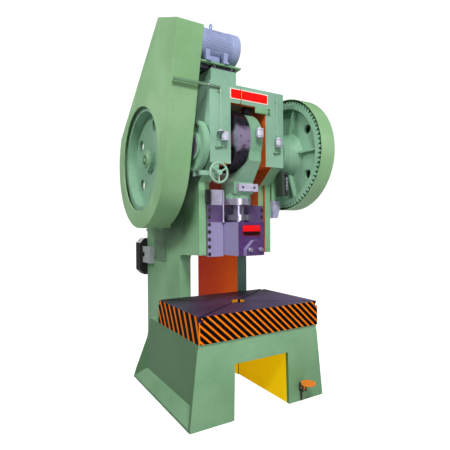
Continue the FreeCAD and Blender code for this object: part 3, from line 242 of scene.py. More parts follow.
# ---------------------------------------------------------------- finishes
@dataclass(frozen=True)
class Enamel:
    """Brushed or sprayed machine enamel over cast iron or plate."""

    name: str
    colour: Colour
    deep: Colour
    roughness: float = 0.36
    inside: Inside = Inside.NONE
    cast: float = 0.35
    grime: float = 0.5
    sheen: float = 0.4
    # strength of the painted glow: the lining below 1.3 m emits its own colour so it looks
    # lit
    glow: float = 0.28
    # share of painted shade on the upright faces that look along X
    panel: float = 0.0
    orange: Colour = srgb(222, 104, 22)
    # deep red of the lining towards the back, in painted shade
    shaded_orange: Colour = srgb(170, 44, 14)
    yellow: Colour = srgb(240, 208, 6)
    primer: Colour = srgb(200, 214, 196)
    # centre (y, z) of the back shaft, round which the painted guard shadow lies
    wheel: tuple[float, float] = (0.575, 1.972)
    half_gap: float = 0.243

    def make(self) -> Material:
        """Build the enamel's shader."""
        shader = Shader(self.name)
        cloud = shader.noise(2.3, 4).spread(0.32, 0.7)
        mottle = shader.noise(38, 4)
        paint = shader.mix(cloud * 0.75, self.colour, self.deep)
        # painted shade: upright faces that look along X, the base's side panels, are
        # darkened towards a deep green
        upright = shader.face_z.size().under(0.15) * shader.face_x.size().over(0.7)
        paint = shader.mix(upright * self.panel, paint, srgb(62, 108, 62))
        paint, lined = self._inner(shader, paint, cloud)
        streak = shader.noise(1.0, 5, (26, 26, 1.6)).spread(0.55, 0.85)
        dust = shader.noise(6, 6).spread(0.5, 0.95)
        soil = (streak * 0.35 + dust * 0.4) * self.grime
        paint = shader.shade(soil, paint, 0.62 + mottle * 0.1)
        paint = shader.shade(0.5, paint, 0.86 + mottle * 0.28)
        normal, edge = shader.edges(0.003)
        chips = edge * shader.noise(60, 5).spread(0.48, 0.66)
        paint = shader.mix(chips * 0.45, paint, self.primer)
        peel = shader.noise(420, 2) * 0.25 + shader.noise(46, 5) * self.cast
        return shader.finish(
            base_color=paint, metallic=0.0, coat_weight=(1 - lined) * 0.1,
            roughness=self.roughness + mottle * 0.16 + soil * 0.2 + lined * 0.35,
            coat_roughness=0.2, specular_ior_level=self.sheen,
            # painted light: the lining below 1.3 m glows with its own colour, though it is
            # no lamp
            emission_color=shader.mix(lined * shader.z.under(1.3), (0.0, 0.0, 0.0), paint),
            emission_strength=self.glow,
            normal=shader.bump(peel, 0.35, 0.0012, normal))

    def _inner(self, shader: Shader, paint: Value, cloud: Value) -> tuple[Value, Value]:
        """Lay the second colour on the faces that look into the machine, darker towards the
        back as painted shade, and paint the belt guard's shadow and the throat edge's shade
        on the frames.

        Args:
            shader: the shader being built.
            paint: colour of the outer faces.
            cloud: slow variation over the surface.

        Returns:
            The colour, and 1 where the second colour lies.
        """
        inward = (shader.face_x * shader.x.sign()).under(-FACING)
        if self.inside is Inside.NONE:
            return paint, inward * 0.0
        if self.inside is Inside.YELLOW:
            return shader.mix(1.0, paint, self.yellow), inward * 0.0 + 1.0
        left = shader.face_x.under(-FACING) * shader.x.under(-0.2)
        wheel_y, wheel_z = self.wheel
        reach = ((shader.y - wheel_y) ** 2.0 + (shader.z - wheel_z) ** 2.0) ** 0.5
        # painted shadow: the left frame's left face goes dark green in a ring round the back
        # shaft, where the belt guard's shadow falls
        guard_shadow = left * reach.spread(0.86, 0.60) * shader.z.under(1.99)
        # painted shade: the right frame's front face in the throat is turned dark teal
        throat_shade = shader.face_y.under(-FACING) * shader.y.within(0.38, 0.40)
        throat_shade = throat_shade * shader.x.over(0.0) * 0.85
        paint = shader.mix(guard_shadow * (0.5 + cloud * 0.4), paint, srgb(18, 62, 22))
        paint = shader.mix(throat_shade, paint, srgb(74, 104, 104))
        between = shader.x.size().under(self.half_gap)
        rear = shader.face_y.under(-FACING) * shader.y.over(0.2) * between
        under = shader.face_z.size().over(FACING) * between * shader.z.under(2.44)
        zone = (inward + rear + under).clamp()
        # painted shade: the lining darkens from orange to a deeper red towards the back,
        # with random tone from the cloud
        depth_shade = shader.y.spread(1.0, 0.35) * 0.75 + cloud * 0.2
        lining = shader.mix(depth_shade, self.shaded_orange, self.orange)
        lining = shader.mix(shader.z.under(BED_TOP), lining, self.yellow)
        return shader.mix(zone, paint, lining), zone


@dataclass(frozen=True)
class Steel:
    """Bare worked steel under a film of oil."""

    name: str
    colour: Colour
    film: Colour
    grain: Grain = Grain.GROUND
    roughness: float = 0.3
    filth: float = 0.4

    def make(self) -> Material:
        """Build the steel's shader."""
        shader = Shader(self.name)
        fine = shader.noise(1.0, *self.grain.value)
        cloud = shader.noise(9, 5).spread(0.35, 0.72)
        spots = shader.noise(70, 4).spread(0.58, 0.75)
        metal = shader.mix((cloud * 0.7 + spots * 0.5).clamp() * self.filth,
                           self.colour, self.film)
        metal = shader.shade(0.6, metal, 0.78 + fine * 0.4)
        normal, edge = shader.edges(0.0015)
        metal = shader.mix(edge * 0.5, metal, srgb(214, 212, 222))
        return shader.finish(
            base_color=metal, metallic=0.92 - spots * 0.25,
            roughness=self.roughness + fine * 0.12 + cloud * 0.14,
            normal=shader.bump(fine, 0.25, 0.0004, normal))


@dataclass(frozen=True)
class PolishedRing:
    """The eccentric ring: polished steel with broad dark bands of painted shade and
    reflection above and below its axis.
    """

    name: str = "polished_ring"
    bright: Colour = srgb(190, 172, 208)
    # colour of the painted shade and reflection bands
    dark: Colour = srgb(20, 15, 28)
    axis_high: float = 2.07

    def make(self) -> Material:
        """Build the ring's shader: painted bands of shade and reflection change with the
        angle round its axis.
        """
        shader = Shader(self.name)
        up = shader.z - self.axis_high
        angle = shader.node("ShaderNodeMath", {"operation": "ARCTAN2"},
                            {0: up, 1: shader.y * -1.0})
        wobble = shader.noise(14, 4) * 0.5 + shader.noise(5, 3) * 0.35
        turn = angle + (wobble - 0.42) * 0.9
        upper = turn.spread(0.18, 0.46)
        lower = turn.spread(-0.22, -0.48)
        # painted shade and reflection: dark bands above and below the axis, where a shiny
        # ring would mirror dark surroundings
        dark = (upper + lower).clamp()
        fine = shader.noise(1.0, 3, (700, 8, 8))
        metal = shader.mix(dark * 0.94, self.bright, self.dark)
        metal = shader.shade(0.5, metal, 0.8 + fine * 0.35)
        return shader.finish(base_color=metal, metallic=0.85, roughness=0.26 + fine * 0.16,
                             normal=shader.bump(fine, 0.2, 0.0003))


@dataclass(frozen=True)
class BolsterFinish:
    """Striped sides round a dark oiled top with a painted bore."""

    name: str = "bolster_finish"
    black: Colour = srgb(9, 6, 6)
    orange: Colour = srgb(255, 128, 6)
    steel: Colour = srgb(104, 84, 128)
    dark: Colour = srgb(40, 26, 40)
    bore: Colour = srgb(206, 140, 10)
    pitch_front: float = 0.0595
    pitch_side: float = 0.0925
    band: float = 0.33
    corner_strip: float = 0.009
    bore_radius: float = 0.0608

    def make(self) -> Material:
        """Build the bolster's shader."""
        shader = Shader(self.name)
        low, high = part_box("bolster_plate")
        drop = shader.z - high.z
        wander = (shader.noise(60, 3) - 0.5) * 0.05
        front = ((shader.x + drop * 1.10 + 0.386 + self.pitch_front * 50)
                 / self.pitch_front + wander).cycle()
        lean = 0.52 + shader.y * 0.45
        side = ((shader.y - drop * lean + 0.246 + self.pitch_side * 50)
                / self.pitch_side + wander).cycle()
        on_front = shader.face_y.size().over(FACING)
        on_side = shader.face_x.size().over(FACING)
        stripe = (on_front * self._band(front) + on_side * self._band(side)).clamp()
        corner = shader.x.under(low.x + self.corner_strip) * on_front
        stripe = (stripe + corner).clamp()
        edge_paint = shader.mix(stripe, self.black, self.orange)
        scuff = shader.noise(90, 5).spread(0.62, 0.72)
        edge_paint = shader.mix(scuff * 0.35, edge_paint, srgb(70, 52, 44))
        top = self._top(shader)
        sides = (on_front + on_side).clamp() * self._outer(shader, low, high)
        base = shader.mix(sides, top, edge_paint)
        radius = (shader.x * shader.x + shader.y * shader.y) ** 0.5
        inside = radius.under(self.bore_radius) * shader.face_z.size().under(0.5)
        base = shader.mix(inside, base, self.bore)
        bare = (1 - sides) * (1 - inside)
        fine = shader.noise(1.0, 3, (50, 700, 50))
        normal, _ = shader.edges(0.002)
        return shader.finish(
            base_color=base, metallic=bare * 0.8, specular_ior_level=0.06,
            roughness=0.5 - bare * 0.12 + fine * 0.12,
            normal=shader.bump(fine, 0.2, 0.0004, normal))

    def _band(self, phase: Value) -> Value:
        """1 inside the coloured part of a stripe's cycle, with a slightly soft edge."""
        away = (phase - 0.5).size()
        return away.spread(self.band / 2 + 0.03, self.band / 2 - 0.03)

    def _top(self, shader: Shader) -> Value:
        """Oiled steel of the top face, darker toward the back."""
        cloud = shader.noise(4, 5).spread(0.3, 0.75)
        swirl = shader.noise(30, 5)
        shadow = (shader.y.spread(0.0, 0.36) * 0.7 + cloud * 0.4).clamp()
        top = shader.mix(shadow, self.steel, self.dark)
        return shader.shade(0.6, top, 0.7 + swirl * 0.6)

    @staticmethod
    def _outer(shader: Shader, low: Vector, high: Vector) -> Value:
        """1 on the outer rim of the plate only, not in its slots and bore."""
        margin = 0.0015
        left = shader.x.under(low.x + margin)
        right = shader.x.over(high.x - margin)
        front = shader.y.under(low.y + margin)
        back = shader.y.over(high.y - margin)
        return (left + right + front + back).clamp()


@dataclass(frozen=True)
class BorderedPlate:
    """Blank enamelled plate with a thin border, and a second field below if it is split."""

    name: str
    low: Point
    high: Point
    upper: Colour
    lower: Colour
    border: Colour
    border_wide: float
    split: float = 0.0

    def make(self) -> Material:
        """Build the plate's shader."""
        shader = Shader(self.name)
        height = self.high[2] - self.low[2]
        lower = (shader.z - self.low[2]).under(height * self.split)
        field = shader.mix(lower, self.upper, self.lower)
        across = ((self.low[0] + self.border_wide), (self.high[0] - self.border_wide))
        rise = ((self.low[2] + self.border_wide), (self.high[2] - self.border_wide))
        middle = shader.x.within(*across) * shader.z.within(*rise)
        paint = shader.mix(middle, self.border, field)
        worn = shader.noise(120, 5).spread(0.62, 0.8)
        paint = shader.shade(worn * 0.5, paint, 0.7)
        return shader.finish(base_color=paint, roughness=0.4 + worn * 0.25, metallic=0.0,
                             specular_ior_level=0.12,
                             normal=shader.bump(shader.noise(300, 2), 0.15, 0.0005))


@dataclass(frozen=True)
class Plain:
    """Rubber, moulded plastic, bronze and other small finishes, by colour and gloss."""

    name: str
    colour: Colour
    worn: Colour
    roughness: float = 0.5
    metallic: float = 0.0
    texture: float = 240.0

    def make(self) -> Material:
        """Build the shader."""
        shader = Shader(self.name)
        patch = shader.noise(24, 5).spread(0.4, 0.75)
        paint = shader.mix(patch * 0.6, self.colour, self.worn)
        normal, edge = shader.edges(0.0015)
        paint = shader.mix(edge * 0.35, paint, self.worn)
        return shader.finish(base_color=paint, metallic=self.metallic,
                             roughness=self.roughness + patch * 0.15,
                             normal=shader.bump(shader.noise(self.texture, 3), 0.3, 0.0006,
                                                normal))


@dataclass(frozen=True)
class SlideSteel:
    """Scraped slide and cover faces: pale on the left and low down; front faces violet and
    cover faces above the slide a darker violet, both painted shade.
    """

    name: str = "slide_steel"
    pale: Colour = srgb(160, 152, 190)
    # violet and dark are the painted shade of the front faces and of the upper cover faces
    violet: Colour = srgb(78, 42, 104)
    dark: Colour = srgb(84, 54, 106)

    def make(self) -> Material:
        """Build the shader."""
        shader = Shader(self.name)
        slide_low, slide_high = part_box("slide")
        # painted shade: the slide's front faces turn violet, and cover faces above the slide
        # a darker violet
        front = shader.face_y.under(-FACING) * shader.y.under(slide_low.y + 0.002)
        cover = shader.face_y.under(-0.5) * shader.y.over(slide_low.y + 0.05)
        upper = cover * shader.z.over(slide_high.z)
        cloud = shader.noise(7, 5).spread(0.3, 0.72)
        metal = shader.mix(front * (0.88 + cloud * 0.1), self.pale, self.violet)
        metal = shader.mix(upper * (0.75 + cloud * 0.2), metal, self.dark)
        scrape = shader.noise(55, 4)
        fine = shader.noise(1.0, 3, (40, 40, 600))
        metal = shader.shade(0.55, metal, 0.66 + scrape * 0.4 + fine * 0.25)
        normal, edge = shader.edges(0.0018)
        metal = shader.mix(edge * 0.5, metal, srgb(220, 212, 232))
        return shader.finish(base_color=metal, metallic=0.35, specular_ior_level=0.3,
                             roughness=0.42 + scrape * 0.12 + fine * 0.1,
                             normal=shader.bump(scrape + fine * 0.5, 0.2, 0.0006, normal))


# Each finish, and the nodes that carry it.
GREEN, DEEP_GREEN = srgb(136, 182, 140), srgb(110, 158, 114)
HEAD_GREEN, HEAD_SHADE = srgb(148, 188, 164), srgb(124, 168, 142)
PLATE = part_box("name_plate")
FINISHES: dict[str, tuple[Any, tuple[str, ...]]] = {
    "enamel": (Enamel("green_enamel", GREEN, DEEP_GREEN),
               ("motor_plate", "clutch_rod_cover")),
    "panelled": (Enamel("green_side_shaded", GREEN, DEEP_GREEN, panel=0.78),
                 ("base_side_left", "base_side_right", "base_front_plate", "bed_plate")),
    "sheet": (Enamel("green_sheet", srgb(150, 192, 144), srgb(124, 170, 118), cast=0.08,
                     grime=0.35), ("belt_guard", "gear_guard")),
    "column": (Enamel("green_column", HEAD_GREEN, HEAD_SHADE, inside=Inside.ORANGE),
               ("bearing_housing_left", "bearing_housing_right", "motor_seat",
                "head_cross_beam", "frame_tie_plates", "handwheel_bracket", "handwheel")),
    "frame": (Enamel("green_frame", GREEN, DEEP_GREEN, inside=Inside.ORANGE),
              ("side_frame_left", "side_frame_right")),
    "bar": (Enamel("green_bar", srgb(116, 150, 118), srgb(82, 116, 88)), ("guard_bar",)),
    "cast": (Enamel("green_casting", srgb(142, 184, 156), srgb(108, 154, 122), cast=0.9,
                    roughness=0.4),
             ("bull_gear", "flywheel", "brake_drum", "brake_band", "conrod", "conrod_cap")),
    "yellow": (Enamel("yellow_enamel", srgb(240, 208, 6), srgb(230, 196, 4), grime=0.2,
                      sheen=0.1, glow=0.2, inside=Inside.YELLOW), ("arch_lining",)),
    "pedal": (Enamel("pedal_enamel", srgb(255, 176, 26), srgb(236, 104, 16), roughness=0.3),
              ("foot_pedal",)),
    "black": (Enamel("black_enamel", srgb(20, 18, 22), srgb(34, 30, 38), cast=0.05,
                     grime=0.2, sheen=0.3, primer=srgb(96, 92, 100)),
              ("control_cabinet", "cabinet_door")),
    "motor": (Enamel("motor_enamel", srgb(164, 176, 212), srgb(136, 146, 186), cast=0.3,
                     primer=srgb(210, 212, 230)), ("motor_body", "motor_fan_cowl")),
    "bracket": (Enamel("dark_bracket", srgb(58, 72, 62), srgb(36, 42, 40)),
                ("pedal_bracket",)),
    "bright": (Steel("bright_steel", srgb(196, 190, 212), srgb(120, 108, 142),
                     roughness=0.24), ("motor_adjusters", "lock_collar", "die_clamp_nuts")),
    "ground": (Steel("ground_steel", srgb(158, 150, 186), srgb(104, 88, 132),
                     roughness=0.34, filth=0.5), ("gibs", "slide_back_guide")),
    "slide": (SlideSteel(), ("slide", "die_clamp_cap", "gib_covers")),
    "turned": (Steel("turned_steel", srgb(150, 146, 166), srgb(76, 66, 92), Grain.TURNED_X,
                     filth=0.5),
               ("crankshaft", "gear_retainer", "back_shaft", "motor_shaft")),
    "screw": (Steel("screw_steel", srgb(150, 142, 168), srgb(56, 44, 72), Grain.TURNED_Z,
                    roughness=0.22, filth=0.7), ("ball_screw",)),
    "dark_steel": (Steel("dark_steel", srgb(92, 82, 104), srgb(34, 26, 40), Grain.SAWN,
                         filth=0.7), ("pinion", "gib_bolts")),
    "ring": (PolishedRing(), ("stroke_ring",)),
    "bolster": (BolsterFinish(), ("bolster_plate",)),
    "name_plate": (BorderedPlate("blank_red_plate", tuple(PLATE[0]), tuple(PLATE[1]),
                                 srgb(250, 14, 12), srgb(250, 14, 12), srgb(236, 226, 214),
                                 0.007), ("name_plate",)),
    "bronze": (Plain("bronze", srgb(176, 128, 62), srgb(120, 82, 40), 0.35, 0.9),
               ("bearing_bushes", "eccentric_bush")),
    "rubber": (Plain("belt_rubber", srgb(24, 24, 26), srgb(44, 42, 42), 0.75),
               ("v_belts",)),
    "iron": (Plain("turned_iron", srgb(84, 86, 92), srgb(52, 50, 56), 0.4, 0.8),
             ("motor_pulley",)),
    "pale": (Plain("pale_block", srgb(196, 192, 216), srgb(150, 144, 172), 0.45, 0.1),
             ("stop_block", "clamp_plate")),
    "cup": (Plain("cup_metal", srgb(206, 204, 222), srgb(160, 160, 184), 0.32, 0.35),
            ("oil_cups", "rod_oil_cup")),
    "grey": (Plain("box_grey", srgb(176, 182, 186), srgb(150, 154, 160), 0.45),
             ("isolator_box",)),
    "knob": (Plain("knob_black", srgb(22, 20, 26), srgb(58, 52, 64), 0.35),
             ("isolator_knob",)),
    "hole": (Plain("hole_dark", srgb(10, 8, 12), srgb(18, 14, 20), 0.8), ()),
    "tube": (Plain("oil_tube", srgb(160, 188, 162), srgb(132, 160, 138), 0.35, 0.2), ()),
    "cap": (Enamel("cap_enamel", srgb(140, 182, 140), srgb(110, 156, 112), cast=0.3), ()),
    "lavender": (Plain("box_lavender", srgb(176, 176, 204), srgb(112, 110, 140), 0.4),
                 ("clutch_latch_box",)),
}


class Palette(dict[str, Material]):
    """Every finish of the machine by name, each made once."""

    def __init__(self) -> None:
        """Build all the materials."""
        super().__init__((name, recipe.make()) for name, (recipe, _) in FINISHES.items())

    def dress(self) -> None:
        """Put each CAD node's finish in its material slots."""
        for name, (_, nodes) in FINISHES.items():
            for node in nodes:
                for slot in NODES[node].material_slots:
                    slot.material = self[name]
                LOG.info("%s dressed in %s", node, name)


# ---------------------------------------------------------------- modelling
class Maker:
    """Adds, shapes and finishes meshes with the modelling operators."""

    @staticmethod
    def clear() -> None:
        """Deselect everything."""
        if bpy.context.object and bpy.context.object.mode != "OBJECT":
            bpy.ops.object.mode_set(mode="OBJECT")
        bpy.ops.object.select_all(action="DESELECT")

    def adopt(self, name: str) -> Piece:
        """Name the active new object and bake its transform into its mesh."""
        piece = bpy.context.object
        piece.name = name
        piece.data.name = name
        bpy.ops.object.transform_apply(location=True, rotation=True, scale=True)
        return piece

    def soften(self, piece: Piece, width: float, segments: int = 2,
               angle: float = 35.0) -> Piece:
        """Round a piece's sharp edges.

        Args:
            piece: the object to work on.
            width: the rounding's width; none if zero.
            segments: faces across the rounding.
            angle: edges sharper than this, in degrees, are rounded.

        Returns:
            The same object.
        """
        self.clear()
        piece.select_set(True)
        bpy.context.view_layer.objects.active = piece
        if width > 0:
            rounding = piece.modifiers.new("rounding", "BEVEL")
            rounding.width = width
            rounding.segments = segments
            rounding.limit_method = "ANGLE"
            rounding.angle_limit = math.radians(angle)
            rounding.harden_normals = False
            bpy.ops.object.modifier_apply(modifier=rounding.name)
        bpy.ops.object.shade_smooth_by_angle(angle=math.radians(angle))
        return piece

    def block(self, name: str, low: Point, high: Point, width: float = 0.0015,
              segments: int = 2) -> Piece:
        """A box between two corners, with rounded edges."""
        self.clear()
        low_corner, high_corner = Vector(low), Vector(high)
        bpy.ops.mesh.primitive_cube_add(size=1, location=(low_corner + high_corner) / 2,
                                        scale=high_corner - low_corner)
        return self.soften(self.adopt(name), width, segments)

    def rod(self, name: str, start: Point, axis: Vector, length: float, radius: float,
            sides: int = 32, width: float = 0.0008) -> Piece:
        """A round or many-sided bar from a point along a direction."""
        self.clear()
        middle = Vector(start) + axis.normalized() * length / 2
        turn = axis.to_track_quat("Z", "Y").to_euler()
        bpy.ops.mesh.primitive_cylinder_add(vertices=sides, radius=radius, depth=length,
                                            location=middle, rotation=turn)
        return self.soften(self.adopt(name), width)

    def turned(self, name: str, start: Point, axis: Vector,
               steps: Sequence[tuple[float, float]], sides: int = 40,
               width: float = 0.0008) -> Piece:
        """A stepped round piece; a step of negative length sinks back into the last one.

        Args:
            name: the piece's name.
            start: centre of its first end.
            axis: the direction it grows in.
            steps: radius and length of each step.
            sides: faces round it.
            width: rounding of its edges.

        Returns:
            The new object.
        """
        axis = axis.normalized()
        radius, reach = steps[0]
        piece = self.rod(name, start, axis, reach, radius, sides, 0)
        bpy.ops.object.mode_set(mode="EDIT")
        for wide, long in steps[1:]:
            end = Vector(start) + axis * reach
            self.pick(piece, lambda face: face.normal.dot(axis) > 0.99
                      and abs((face.calc_center_median() - end).dot(axis)) < 1e-5)
            bpy.ops.mesh.extrude_region_move()
            share = wide / radius
            bpy.ops.transform.resize(value=(share, share, share), center_override=end)
            bpy.ops.mesh.extrude_region_move(TRANSFORM_OT_translate={"value": axis * long})
            radius = wide
            reach += long
        bpy.ops.object.mode_set(mode="OBJECT")
        return self.soften(piece, width)

    @staticmethod
    def pick(piece: Piece, wanted: Any) -> None:
        """Select only the faces that a test accepts, in edit mode."""
        bpy.ops.mesh.select_mode(type="FACE")
        bpy.ops.mesh.select_all(action="DESELECT")
        mesh = bmesh.from_edit_mesh(piece.data)
        for face in mesh.faces:
            face.select_set(bool(wanted(face)))
        mesh.select_flush_mode()
        bmesh.update_edit_mesh(piece.data)

    def torus(self, name: str, centre: Point, axis: Vector, major: float,
              minor: float, sides: int = 48) -> Piece:
        """A round ring of round section."""
        self.clear()
        turn = axis.to_track_quat("Z", "Y").to_euler()
        bpy.ops.mesh.primitive_torus_add(
            major_radius=major, minor_radius=minor, major_segments=sides, minor_segments=12,
            location=Vector(centre), rotation=turn)
        piece = self.adopt(name)
        return self.soften(piece, 0, angle=60)

    def pipe(self, name: str, route: Sequence[Point], radius: float) -> Piece:
        """A bent tube along a smooth line through its control points."""
        self.clear()
        curve = bpy.data.curves.new(name, "CURVE")
        curve.dimensions = "3D"
        curve.bevel_depth = radius
        curve.bevel_resolution = 4
        curve.use_fill_caps = True
        spline = curve.splines.new("NURBS")
        spline.points.add(len(route) - 1)
        for point, spot in zip(spline.points, route):
            point.co = (*spot, 1.0)
        spline.order_u = 3
        spline.use_endpoint_u = True
        spline.resolution_u = 8
        piece = bpy.data.objects.new(name, curve)
        bpy.context.scene.collection.objects.link(piece)
        piece.select_set(True)
        bpy.context.view_layer.objects.active = piece
        bpy.ops.object.convert(target="MESH")
        return self.soften(self.adopt(name), 0, angle=60)

    def slab(self, name: str, outline: Sequence[Point], push: Vector,
             width: float = 0.001) -> Piece:
        """A plate with the given corner outline, extruded by a vector."""
        self.clear()
        mesh = bpy.data.meshes.new(name)
        mesh.from_pydata([Vector(point) for point in outline], [],
                         [list(range(len(outline)))])
        piece = bpy.data.objects.new(name, mesh)
        bpy.context.scene.collection.objects.link(piece)
        piece.select_set(True)
        bpy.context.view_layer.objects.active = piece
        bpy.ops.object.mode_set(mode="EDIT")
        bpy.ops.mesh.select_all(action="SELECT")
        bpy.ops.mesh.extrude_region_move(TRANSFORM_OT_translate={"value": push})
        bpy.ops.mesh.select_all(action="SELECT")
        bpy.ops.mesh.normals_make_consistent(inside=False)
        bpy.ops.object.mode_set(mode="OBJECT")
        return self.soften(piece, width)

    def spread(self, piece: Piece,
               places: Iterable[Point | Matrix]) -> list[Piece]:
        """Copies of a piece, each with its own mesh, moved by vectors or matrices."""
        made = []
        for place in places:
            twin = piece.copy()
            twin.data = piece.data.copy()
            bpy.context.scene.collection.objects.link(twin)
            shift = place if isinstance(place, Matrix) else Matrix.Translation(Vector(place))
            twin.data.transform(shift)
            made.append(twin)
        return made

    def join(self, name: str, pieces: Sequence[Piece]) -> Piece:
        """Make one object of several."""
        self.clear()
        for piece in pieces:
            piece.select_set(True)
        bpy.context.view_layer.objects.active = pieces[0]
        if len(pieces) > 1:
            bpy.ops.object.join()
        pieces[0].name = name
        pieces[0].data.name = name
        return pieces[0]

    def screw(self, name: str, seat: Point, axis: Vector, radius: float,
              height: float) -> Piece:
        """Socket-head screw standing on a face."""
        return self.turned(name, seat, axis, ((radius, height), (radius * 0.52,
                                                                 -height * 0.6)), 24, 0.0006)

    def bolt(self, name: str, seat: Point, axis: Vector, radius: float,
             height: float) -> Piece:
        """Hexagon bolt head on its washer."""
        washer = self.rod(name + "_washer", seat, axis, height * 0.22, radius * 1.35, 32,
                          0.0004)
        lift = Vector(seat) + axis.normalized() * height * 0.2
        head = self.rod(name + "_head", lift, axis, height * 0.8, radius * 1.1, 6, 0.0012)
        return self.join(name, (washer, head))


MAKER = Maker()


def fit(piece: Piece, finish: Material, slot: str,
        body: str = "frame") -> Piece:
    """Give a new piece its material and the body it rides on.

    Args:
        piece: the finished object.
        finish: its material.
        slot: not used.
        body: the CAD body it moves with.

    Returns:
        The same object.
    """
    piece.data.materials.clear()
    piece.data.materials.append(finish)
    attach(piece, body)
    LOG.info("%s rides on %s", piece.name, body)
    return piece


def centre_of(node: str) -> Point:
    """Centre of a CAD node's box."""
    low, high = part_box(node)
    return (low.x + high.x) / 2, (low.y + high.y) / 2, (low.z + high.z) / 2


def islands(node: str) -> list[tuple[Vector, Vector]]:
    """Lowest and highest corner of each separate solid of a CAD node."""
    mesh = bmesh.new()
    mesh.from_mesh(NODES[node].data)
    bmesh.ops.remove_doubles(mesh, verts=mesh.verts, dist=1e-6)
    left = set(mesh.verts)
    boxes = []
    while left:
        queue = [left.pop()]
        spots = []
        while queue:
            vert = queue.pop()
            spots.append(NODES[node].matrix_world @ vert.co)
            for edge in vert.link_edges:
                other = edge.other_vert(vert)
                if other in left:
                    left.remove(other)
                    queue.append(other)
        boxes.append((Vector(map(min, *spots)), Vector(map(max, *spots))))
    mesh.free()
    return boxes


# ---------------------------------------------------------------- sub-assemblies
@dataclass
class Assembly:
    """Fittings that belong together and share a palette."""

    palette: Palette

    def place(self, piece: Piece, finish: str, slot: str, body: str = "frame") -> None:
        """Give a piece one of the palette's finishes and its body."""
        fit(piece, self.palette[finish], slot, body)

    def mount(self, name: str, pieces: Sequence[Piece], finish: str, slot: str,
              body: str = "frame") -> None:
        """Join pieces under one name, and give them their finish and body."""
        self.place(MAKER.join(name, pieces), finish, slot, body)

    def row(self, name: str, first: Piece, places: Iterable[Point | Matrix],
            finish: str, slot: str, body: str = "frame") -> None:
        """Mount a piece together with copies of it, moved by vectors or matrices."""
        self.mount(name, [first, *MAKER.spread(first, places)], finish, slot, body)


@dataclass
class Head(Assembly):
    """Fittings on the bearing housings and in the opening between them."""

    plate_left: float = 0.060
    plate_right: float = 0.212
    plate_low: float = 2.288
    plate_high: float = 2.336
    plate_thick: float = 0.008
    pipe_radius: float = 0.0032
    line_top: float = 2.43
    plug_rise: float = 2.405
    cup_radius: float = 0.028

    def build(self) -> None:
        """Make the hanging bracket, the oil lines, the drip lips and their screws."""
        self.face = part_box("bearing_housing_right")[0].y
        self._bracket()
        self._oil_lines()
        self._lips()
        self._lubricator()
        self._rivets()

    def _bracket(self) -> None:
        """Plate under the cross beam, with two screws in the right-hand housing."""
        front = self.face - self.plate_thick
        plate = MAKER.block("head_bracket", (self.plate_left, front, self.plate_low),
                            (self.plate_right, self.face, self.plate_high), 0.002)
        self.place(plate, "enamel", "body_paint")
        middle = (self.plate_low + self.plate_high) / 2
        seat = (self.plate_right - 0.022, front, middle - 0.013)
        first = MAKER.screw("bracket_screw", seat, -Axis.Y.vector, 0.006, 0.006)
        self.row("bracket_screws", first, [(0, 0, 0.027)], "hole", "bright_steel")

    def _oil_lines(self) -> None:
        """A line down each housing's face to its cup, and a copper one to the ring."""
        _, cup_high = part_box("oil_cups")
        top, bottom = self.line_top, cup_high.z
        profile = ((0.002, top), (-0.008, top - 0.006), (-0.010, top - 0.03),
                   (-0.010, bottom + 0.06), (-0.012, bottom + 0.02),
                   (-0.026, bottom - 0.004))
        lines = []
        for side, inward in ((-1, 0.012), (1, 0.0)):
            across = side * (cup_high.x - self.cup_radius) + inward
            route = [(across, self.face + out, level) for out, level in profile]
            lines.append(MAKER.pipe("oil_line_%d" % side, route, self.pipe_radius))
        self.mount("oil_lines", lines, "tube", "body_paint")
        across = centre_of("stroke_ring")[0] + 0.014
        profile = ((-0.008, 2.448), (-0.019, 2.44), (-0.021, 2.40), (-0.019, 2.352),
                   (0.01, 2.332), (0.05, 2.325))
        route = [(across, self.face + out, level) for out, level in profile]
        self.place(MAKER.pipe("ring_oil_line", route, self.pipe_radius * 0.8), "bronze",
                   "bronze")

    def _lips(self) -> None:
        """A small sloping drip lip under each cup, and a plug screw above each line."""
        cup_low, cup_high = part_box("oil_cups")
        lips = []
        plugs = []
        for side in (-1, 1):
            middle = side * (cup_high.x - self.cup_radius)
            low = cup_low.z - 0.052
            outline = [(middle + across, self.face, low + rise) for across, rise in
                       ((-0.034, 0), (0.030, 0.012), (0.030, 0.021), (-0.034, 0.009))]
            lips.append(MAKER.slab("drip_lip_%d" % side, outline, Vector((0, -0.022, 0)),
                                   0.002))
            plugs.append(MAKER.screw("plug_%d" % side, (middle, self.face, self.plug_rise),
                                     -Axis.Y.vector, 0.010, 0.007))
        self.mount("drip_lips", lips, "enamel", "body_paint")
        self.mount("plug_screws", plugs, "enamel", "body_paint")

    def _lubricator(self) -> None:
        """Black round oiler over the strap, and its bar under the cross beam."""
        centre = (0.030, self.face + 0.040, 2.318)
        body = MAKER.turned("ring_oiler", centre, Axis.Y.vector,
                            ((0.022, 0.006), (0.038, 0.050), (0.024, 0.012)), 40, 0.002)
        self.place(body, "black", "black_paint")
        bar = MAKER.block("oiler_bar", (-0.15, self.face + 0.006, 2.352),
                          (0.02, self.face + 0.03, 2.366), 0.001)
        self.place(bar, "bright", "bright_steel")

    def _rivets(self) -> None:
        """Four rivets in the corners of the name plate."""
        low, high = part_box("name_plate")
        inset = 0.0105
        first = MAKER.turned("plate_rivet", (low.x + inset, low.y + 0.0006, low.z + inset),
                             -Axis.Y.vector, ((0.004, 0.0016), (0.0026, 0.0008)), 16, 0.0004)
        wide, tall = high.x - low.x - 2 * inset, high.z - low.z - 2 * inset
        self.row("plate_rivets", first, [(wide, 0, 0), (0, 0, tall), (wide, 0, tall)],
                 "bright", "bright_steel")


